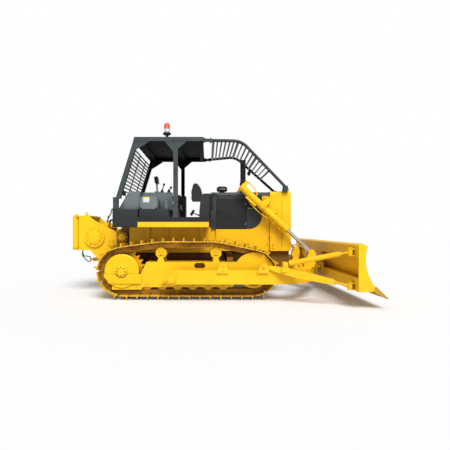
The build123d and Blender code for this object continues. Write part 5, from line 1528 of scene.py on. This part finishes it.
for side, name in flanks:
    body = f"lift_barrel_{name}"

    def draw_barrel_pipes(bm, side=side):
        lower = [on_barrel(side, u, v) for u, v in ((-0.265, -0.112), (-0.225, -0.130), (-0.050, -0.143),
                                                    (0.129, -0.136), (0.262, -0.106), (0.360, -0.092),
                                                    (0.520, -0.091), (0.690, -0.091), (0.712, -0.084))]
        pipe(bm, soft_line(lower), 0.011)
        upper = [on_barrel(side, u, v) for u, v in ((-0.592, 0.150), (-0.590, 0.172), (-0.560, 0.184),
                                                    (-0.450, 0.170), (-0.335, 0.152), (-0.270, 0.122),
                                                    (-0.240, 0.078))]
        pipe(bm, soft_line(upper), 0.012)

    def draw_barrel_bands(bm, side=side):
        for u in (0.420, 0.610):
            barrel_ring(bm, side, u, 0.0752, 0.081, 0.026)
            slab(bm, place_at(on_barrel(side, u + 0.013, -0.078), -barrel_across, barrel_along),
                 rounded(0.030, 0.052, 0.006), 0.030, 0.002)
        foot = place_at(on_barrel(side, 0.705, -0.0835), -barrel_across, barrel_along)
        slab(bm, foot, rounded(0.064, 0.056, 0.008), 0.022, 0.003)
        for u, v in ((-0.265, -0.113), (-0.592, 0.150)):
            facing = barrel_across if v > 0 else -barrel_across
            nut = [(0.021, 0), (0.021, 0.016), (0.016, 0.020), (0, 0.020)]
            turned(bm, place_at(on_barrel(side, u, v), facing), nut, 6)
        barrel_ring(bm, side, 0.7505, 0.0395, 0.052, 0.010)

    piece(f"barrel_pipes_{name}", draw_barrel_pipes, "machine_yellow", body)
    piece(f"barrel_bands_{name}", draw_barrel_bands, "machine_yellow", body)
    bolts(f"gland_bolts_{name}", end_bolts(side, gland_end, barrel_along), 0.016, body, "zinc")
    bolts(f"cap_bolts_{name}", end_bolts(side, cap_end, -barrel_along), 0.020, body)


def draw_yoke_caps(bm):
    for spot, facing in on_flanks(["cylinder_yokes"], [(lift_pin[0] + 0.052, lift_pin[1] + 0.010)]):
        centre = Vector((lift_pin[0], spot.y, lift_pin[1]))
        turned(bm, place_at(centre, facing), [(0.058, 0.0005), (0.058, 0.008), (0.050, 0.012),
                                              (0.022, 0.012), (0.018, 0.018), (0, 0.018)], 32)


piece("yoke_caps", draw_yoke_caps, "machine_yellow")
yoke_cap_bolts = [((x, side * 0.8305, z), (0, side, 0)) for side in mirrored
                  for x, z in circle_of(*lift_pin, 0.040, 4, 0.4)]
bolts("yoke_cap_bolts", yoke_cap_bolts, 0.018)

# %% [markdown]
# ## Hoses over a joint
# Two short hoses bring oil from the hood's side to the valve block. Their first end is at the hull
# and their second at the barrel, and each is one fixed mesh that rides on no body.

# %% Lift hoses
hose_x, hose_shifts = 0.850, (0.0, 0.048)
for side, name in flanks:
    for number, shift in enumerate(hose_shifts):
        def draw_hose(bm, side=side, shift=shift):
            pipe(bm, soft_line([(hose_x + shift, side * y, z) for y, z in
                                ((0.4995, 1.925), (0.530, 1.922), (0.590, 1.930), (0.645, 1.955),
                                 (0.684, 2.000))]
                               + [(0.847 + shift, side * 0.700, 2.049 - 0.93 * shift)], 8), 0.012)
        hose = piece(f"lift_hose_{name}_{number + 1}", draw_hose, "rubber", None)
        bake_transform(hose)


def draw_hose_ferrules(bm):
    for side in mirrored:
        for shift in hose_shifts:
            turned(bm, place_at((hose_x + shift, side * 0.4998, 1.925), (0, side, 0)),
                   [(0.022, 0), (0.022, 0.012), (0.018, 0.014), (0.017, 0.030), (0.0125, 0.032),
                    (0, 0.032)], 6)


piece("hose_ferrules", draw_hose_ferrules, "zinc")

# %% [markdown]
# ## Winch pipes and valve
# The winch's oil comes from the tank through hoses to a small valve on a plate over the gears. A hose is
# a tube along a soft line, so only a few points say where it goes.

# %% Winch valve and lines
slope_along = Vector((0.895, 0, -0.446))
slope_up = Vector((0.446, 0, 0.895))
valve_middle = Vector((-2.420, 0, 1.5225))
valve_ports = (-0.325, -0.275, -0.225)
port_shift = 0.026


def draw_valve(bm):
    plate = place_at(valve_middle, slope_up, slope_along)
    slab(bm, plate, rounded(0.170, 0.836, 0.012), 0.012, 0.002)
    for y, width, length, height in ((-0.26, 0.105, 0.190, 0.085), (0.10, 0.080, 0.120, 0.055)):
        place = place_at(valve_middle + slope_up * 0.0115 + Vector((0, y, 0)), slope_up, slope_along)
        slab(bm, place, rounded(width, length, 0.010), height, 0.004)


def draw_valve_nuts(bm):
    for y in valve_ports:
        for shift in (-port_shift, port_shift):
            spot = valve_middle + slope_up * 0.0965 + slope_along * shift + Vector((0, y, 0))
            turned(bm, place_at(spot, slope_up), [(0.017, 0), (0.017, 0.016), (0.012, 0.020), (0, 0.020)],
                   6)


def draw_winch_lines(bm):
    for k, y in enumerate(valve_ports):
        top = valve_middle + slope_up * 0.110 + slope_along * port_shift + Vector((0, y, 0))
        far = -0.44 + 0.05 * k
        pipe(bm, soft_line([top, top + slope_up * 0.045, top + Vector((0.075, -0.02, 0.055)),
                            (-2.235, (y + far) / 2, 1.600 + 0.012 * k), (-2.150, far, 1.640 + 0.015 * k),
                            (-2.085, far, 1.650 + 0.015 * k), (-2.051, far, 1.650 + 0.015 * k)]), 0.012)
    low = valve_middle + slope_up * 0.110 - slope_along * port_shift + Vector((0, valve_ports[0], 0))
    pipe(bm, soft_line([low, low + slope_up * 0.060, low + Vector((0.05, -0.06, 0.115)),
                        (-2.330, -0.480, 1.700), (-2.262, -0.500, 1.790), (-2.246, -0.500, 1.870),
                        (-2.205, -0.500, 1.905), (-2.120, -0.500, 1.860), (-2.085, -0.500, 1.800),
                        (-2.051, -0.500, 1.790)]), 0.013)


piece("winch_valve", draw_valve, "machine_yellow")
piece("winch_valve_nuts", draw_valve_nuts, "zinc")
piece("winch_lines", draw_winch_lines, "rubber")
print("winch lines:", len(valve_ports) + 1)

# %% [markdown]
# ## Wire rope
# A wire rope is six strands laid round a core. On the drum one thick spiral is enough. The tail hangs
# free: its middle line is a smooth spline through a few control points, and every strand winds round
# the points read from that spline.

# %% Spiral on the drum
drum_line = []
turns, per_turn, rope_half, wound_radius, wound_rope = 23, 36, 0.300, 0.210, 0.0125
for step in range(turns * per_turn + 1):
    angle = tau * step / per_turn
    y = -rope_half + 2 * rope_half * step / (turns * per_turn)
    x, z = winch_centre[0] + wound_radius * cos(angle), winch_centre[1] + wound_radius * sin(angle)
    drum_line.append((x, y, z))
piece("drum_rope", lambda bm: pipe(bm, drum_line, wound_rope, 7), "wire", "winch_drum", crease=70)
print("turns on the drum:", turns)

# %% [markdown]
# ## The rope's free end
# From the drum the rope drops through the rear opening, ends in a pressed ferrule, and below it an eye
# hangs in the shackle. Both are heavy steel cords that keep their bend, so each is drawn strand by strand.

# %% The tail
rope_thickness, eye_thickness = 0.026, 0.022
rope_route = [(-2.840, 0, 1.388), (-2.996, 0, 1.130), (-3.048, 0, 0.985), (-3.078, 0, 0.895),
              (-3.056, 0, 0.810)]
eye_route = [(-3.056, 0, 0.815), (-2.990, 0, 0.806), (-2.895, 0, 0.800), (-2.866, 0, 0.750),
             (-2.866, 0, 0.705), (-2.905, 0, 0.672), (-2.985, 0, 0.700), (-3.050, 0, 0.800)]


def spline_line(name, route, resolution):
    """Points read from a smooth spline whose control points are the route's."""
    curve = bpy.data.curves.new(name, "CURVE")
    curve.dimensions = "3D"
    curve.resolution_u = resolution
    spline = curve.splines.new("NURBS")
    spline.points.add(len(route) - 1)
    for point, spot in zip(spline.points, route):
        point.co = (*spot, 1)
    spline.order_u = 3
    spline.use_endpoint_u = True
    holder = linked(name, curve)
    bpy.context.view_layer.update()
    mesh = bpy.data.meshes.new_from_object(holder)
    line = [vertex.co.copy() for vertex in mesh.vertices]
    bpy.data.objects.remove(holder)
    bpy.data.curves.remove(curve)
    bpy.data.meshes.remove(mesh)
    return line


def strand_lines(line, lay_radius, pitch, count):
    """Spirals round a line, one for each strand."""
    side, travelled, strands = None, 0.0, [[] for _ in range(count)]
    for index, point in enumerate(line):
        ahead = (line[min(index + 1, len(line) - 1)] - line[max(index - 1, 0)]).normalized()
        side = (ahead.orthogonal() if side is None else side - ahead * side.dot(ahead)).normalized()
        other = ahead.cross(side)
        travelled += (point - line[index - 1]).length if index else 0.0
        for number in range(count):
            angle = tau * (travelled / pitch + number / count)
            strands[number].append(point + lay_radius * (side * cos(angle) + other * sin(angle)))
    return strands


def draw_rope(bm, line, radius):
    """Six strands round a core, within a radius."""
    for strand in strand_lines(line, radius * 0.645, radius * 6.5, 6):
        pipe(bm, strand, radius * 0.355, 7)
    pipe(bm, line, radius * 0.45, 7)


def length_of(line):
    """The length of a line of points."""
    return sum((b - a).length for a, b in zip(line, line[1:]))


tail_line = spline_line("rope_route", rope_route, 48)
eye_line = spline_line("eye_route", eye_route, 36)
tail = piece("winch_rope_tail", lambda bm: draw_rope(bm, tail_line, rope_thickness / 2), "wire", crease=60)
eye = piece("winch_rope_eye", lambda bm: draw_rope(bm, eye_line, eye_thickness / 2), "wire", crease=60)
ferrule_place = place_at((-3.0765, 0, 0.883), Vector((-3.050, 0, 0.785)) - Vector((-3.076, 0, 0.880)))
ferrule_profile = [(0.017, 0), (0.022, 0.006), (0.023, 0.014), (0.0215, 0.048), (0.023, 0.084),
                   (0.022, 0.094), (0.017, 0.101)]
ferrule = piece("rope_ferrule", lambda bm: turned(bm, ferrule_place, ferrule_profile, 24), "worn_steel")
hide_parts("winch_rope")
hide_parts("winch_rope")
print("rope tail:", round(length_of(tail_line), 3), "m")

# %% [markdown]
# ## The stuffed seat
# A seat cushion is foam in vinyl: crowned in the middle, tight at its corners, with pressed channels and
# a piped seam. Each starts as a slightly small block with round corners. A cloth simulation blows it
# up like a bag, a cap keeps any point from moving too far, and the channels and the piping come last.

# %% Helpers for stuffing
air_pressure, blown_frames = 4.0, 20
channel_width, piping_radius, piping_sides = 0.010, 0.005, 8


def cushion_block(name, place, width, depth, thickness, corner):
    """A closed block with round corners in plan, softly crowned on both faces."""
    bm = bmesh.new()
    outline = rounded(width, depth, corner, steps=6)
    slab(bm, place @ Matrix.Translation((0, 0, -thickness / 2)), outline, thickness, 0.018)
    bmesh.ops.recalc_face_normals(bm, faces=bm.faces)
    bmesh.ops.triangulate(bm, faces=[face for face in bm.faces if len(face.verts) > 4])
    mesh = bpy.data.meshes.new(name)
    bm.to_mesh(mesh)
    bm.free()
    return linked(name, mesh)


def kept_result(source, modifier):
    """Puts what a modifier makes into the object's own mesh and removes the modifier."""
    mesh = evaluated_copy(source)
    source.modifiers.remove(modifier)
    old, source.data = source.data, mesh
    bpy.data.meshes.remove(old)


def remeshed(source, voxel):
    """Gives the block even, small faces."""
    even = source.modifiers.new("even", "REMESH")
    even.mode = "VOXEL"
    even.voxel_size = voxel
    kept_result(source, even)


def stuffed(source, most):
    """Blows the shape up as cloth for a few frames; no point goes further than most."""
    start = [vertex.co.copy() for vertex in source.data.vertices]
    cloth = source.modifiers.new("stuffing", "CLOTH")
    cloth.settings.quality = 5
    cloth.settings.use_pressure = True
    cloth.settings.uniform_pressure_force = air_pressure
    cloth.settings.effector_weights.gravity = 0
    cloth.settings.tension_stiffness = 20
    cloth.settings.compression_stiffness = 20
    cloth.point_cache.frame_start = 1
    cloth.point_cache.frame_end = blown_frames
    for frame_number in range(1, blown_frames + 1):
        bpy.context.scene.frame_set(frame_number)
    kept_result(source, cloth)
    bpy.context.scene.frame_set(1)
    for vertex, before in zip(source.data.vertices, start):
        step = vertex.co - before
        if step.length > most:
            vertex.co = before + step * (most / step.length)
    finer = source.modifiers.new("finer", "SUBSURF")
    finer.levels = finer.render_levels = 1
    kept_result(source, finer)


def press_channels(source, place, channels, depth):
    """Sews lines into the face that looks along the place's z; each channel is a value of the place's x."""
    back = place.inverted()
    out = place.to_3x3() @ Vector((0, 0, 1))
    for vertex in source.data.vertices:
        local = back @ vertex.co
        if local.z > 0:
            pull = sum(2.718 ** (-((local.x - x) / channel_width) ** 2) for x in channels)
            vertex.co -= out * depth * min(pull, 1.0)


def piping(name, place, width, depth, corner):
    """The round seam along a cushion's edge."""
    outline = rounded(width, depth, corner, steps=6)
    line = [place @ Vector((x, y, 0)) for x, y in outline]
    around = [tau * k / piping_sides for k in range(piping_sides)]

    def draw(bm):
        rings = []
        for index, point in enumerate(line):
            ahead = (line[(index + 1) % len(line)] - line[index - 1]).normalized()
            out = place.to_3x3() @ Vector((0, 0, 1))
            side = ahead.cross(out).normalized()
            rings.append([bm.verts.new(point + piping_radius * (out * cos(turn) + side * sin(turn)))
                          for turn in around])
        for low, high in zip(rings, rings[1:] + rings[:1]):
            bridge(bm, low, high)
    return piece(name, draw, "seat_vinyl", crease=60)


print("stuffing helpers ready")

# %% [markdown]
# ## Three cushions from one table
# Cushion, back and headrest differ in size and place alone, so a row of a table says what each one is.

# %% Cushion, back and headrest
# each row: piece, solid, place, width, depth, thickness, corner, channels, and the most it may swell
cushions = [
    ("seat_cushion_pad", "seat_cushion", place_at((-0.9275, 0, 1.9905), (0, 0, 1), (1, 0, 0)),
     0.445, 0.450, 0.096, 0.060, (-0.11, 0.0, 0.11), 0.010),
    ("seat_back_pad", "seat_back", place_at((-1.2330, 0, 2.1550), (0.995, 0, 0.10), (-0.10, 0, 0.995)),
     0.350, 0.440, 0.066, 0.060, (-0.10, 0.0, 0.10), 0.010),
    ("headrest_pad", "headrest", place_at((-1.2960, 0, 2.6160), (0.990, 0, 0.139), (-0.139, 0, 0.990)),
     0.166, 0.276, 0.074, 0.038, (0.0,), 0.006),
]
for name, solid, place, width, depth, thickness, corner, channels, most in cushions:
    pad = cushion_block(name, place, width, depth, thickness, corner)
    remeshed(pad, 0.008)
    stuffed(pad, most)
    press_channels(pad, place, channels, 0.007)
    dressed_piece(pad, "seat_vinyl", "hull", 80)
    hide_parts(solid)
    piping(f"{name}_piping", place @ Matrix.Translation((0, 0, thickness * 0.30)), width + 2 * most - 0.002,
           depth + 2 * most - 0.002, corner)
    print(name, len(pad.data.vertices), "points")


def draw_seat_shell(bm):
    """The moulded shell behind the back cushion, the headrest's posts and the armrests' pads."""
    back = place_at((-1.2790, 0, 2.1450), (-0.995, 0, -0.10), (-0.10, 0, 0.995))
    slab(bm, back, rounded(0.400, 0.462, 0.070, steps=6), 0.014, 0.005)
    for side in mirrored:
        post = [(-1.275, 2.300), (-1.285, 2.400), (-1.297, 2.540), (-1.297, 2.600)]
        pipe(bm, soft_line([(x, side * 0.105, z) for x, z in post]), 0.010)
        armrest = place_at((-0.955, side * 0.2875, 2.1903), (0, 0, 1), (1, 0, 0))
        slab(bm, armrest, rounded(0.385, 0.060, 0.026), 0.030, 0.009)


piece("seat_shell", draw_seat_shell, "black_plastic")
print("seat done")

# %% [markdown]
# ## Rear screen mesh and deck tread
# The cab's rear is closed by a wire mesh behind the bars, and the decks have raised lozenges that keep
# boots from slipping. Both are one small part, repeated by the tree.

# %% Wires and lozenges
screen_low, screen_high, screen_half = 2.262, 3.138, 1.061
post_foot, post_head = (-1.934, 2.105), (-1.577, 3.275)
rise, lean = post_head[1] - post_foot[1], post_head[0] - post_foot[0]
screen_up = Vector((lean, 0, rise)).normalized()
screen_out = Vector((-screen_up.z, 0, screen_up.x))


def screen_point(y, z):
    """A point of the mesh's plane, which leans forwards with the rear posts."""
    x = post_foot[0] + (z - post_foot[1]) * lean / rise
    return Vector((x, y, z)) + screen_out * 0.0165


def wire_strip(length):
    """A thin square wire along the part's x."""
    return lambda bm: pipe(bm, [(-length / 2, 0, 0), (length / 2, 0, 0)], 0.0016, 4)


level_count, upright_count = 9, 17
heights = [screen_low + (screen_high - screen_low) * k / (level_count - 1) for k in range(level_count)]
across = [-screen_half + 2 * screen_half * k / (upright_count - 1) for k in range(upright_count)]
screen_middle = (screen_low + screen_high) / 2
levels = [(screen_point(0, z), tuple(screen_out), (0, 1, 0)) for z in heights]
uprights = [(screen_point(y, screen_middle) + screen_out * 0.003, tuple(screen_out), tuple(screen_up))
            for y in across]
repeated("screen_wires_level", wire_strip(2 * screen_half), levels, "black_paint")
repeated("screen_wires_up", wire_strip((screen_high - screen_low) / screen_up.z), uprights, "black_paint")


def lozenge(bm):
    """A raised lens-shaped bar."""
    rim = [(0.016 * cos(tau * k / 8), 0.0055 * sin(tau * k / 8), 0) for k in range(8)]
    low = [bm.verts.new(point) for point in rim]
    top = [bm.verts.new((0.6 * x, 0.5 * y, 0.0022)) for x, y, _ in rim]
    bridge(bm, low, top)
    bm.faces.new(top)
    bm.faces.new(low)


deck_top, deck_front = 1.7002, -0.09
row_step, column_step = 0.060, 0.086
tread = []
for side in mirrored:
    for row in range(9):
        for column in range(17):
            x = -1.49 + column_step * column + column_step / 2 * (row % 2)
            y = side * (0.62 + row_step * row)
            taken = side < 0 and x < -0.86 or side > 0 and -0.94 < x < -0.60
            if x < deck_front and not taken:
                tread.append(((x, y, deck_top), (0, 0, 1), (1, 1 if (row + column) % 2 else -1, 0)))
repeated("deck_tread", lozenge, tread, "graphite_paint")
print("wires:", level_count + upright_count, "lozenges:", len(tread))

# %% [markdown]
# ## Screws of struts and braces
# A strut ends in a long screw with a lock nut, by which the blade's pitch is set. The thread is a row of
# thin rings, which looks right and needs few faces.

# %% Nuts and threads
link_ends = {"strut": ((1.037, 1.475, 0.709), (2.570, 1.950, 0.392)),
             "brace": ((1.430, 1.597, 0.762), (2.570, 1.950, 1.022))}
thread_pitch, thread_height = 0.008, 0.003


def screw_parts(bm, start, end, root, share, count):
    """A lock nut and thread rings along a link from one share of its length."""
    run = Vector(end) - Vector(start)
    place = place_at(Vector(start) + run * share, run)
    turned(bm, place, [(root * 1.9, 0), (root * 1.9, 0.026), (root * 1.6, 0.032), (root, 0.032)], 6)
    for k in range(count):
        low = 0.036 + thread_pitch * k
        profile = [(root - 0.001, low), (root + thread_height, low + 0.003), (root - 0.001, low + 0.006)]
        lathe_ring(bm, place, profile, 20)


def draw_screws(bm):
    for side in mirrored:
        ends = {name: [(x, side * y, z) for x, y, z in pair] for name, pair in link_ends.items()}
        screw_parts(bm, *ends["strut"], 0.022, 0.825, 18)
        screw_parts(bm, *ends["brace"], 0.020, 0.843, 10)


piece("link_screws", draw_screws, "blade_yellow", "push_frame")
print("link screws done")
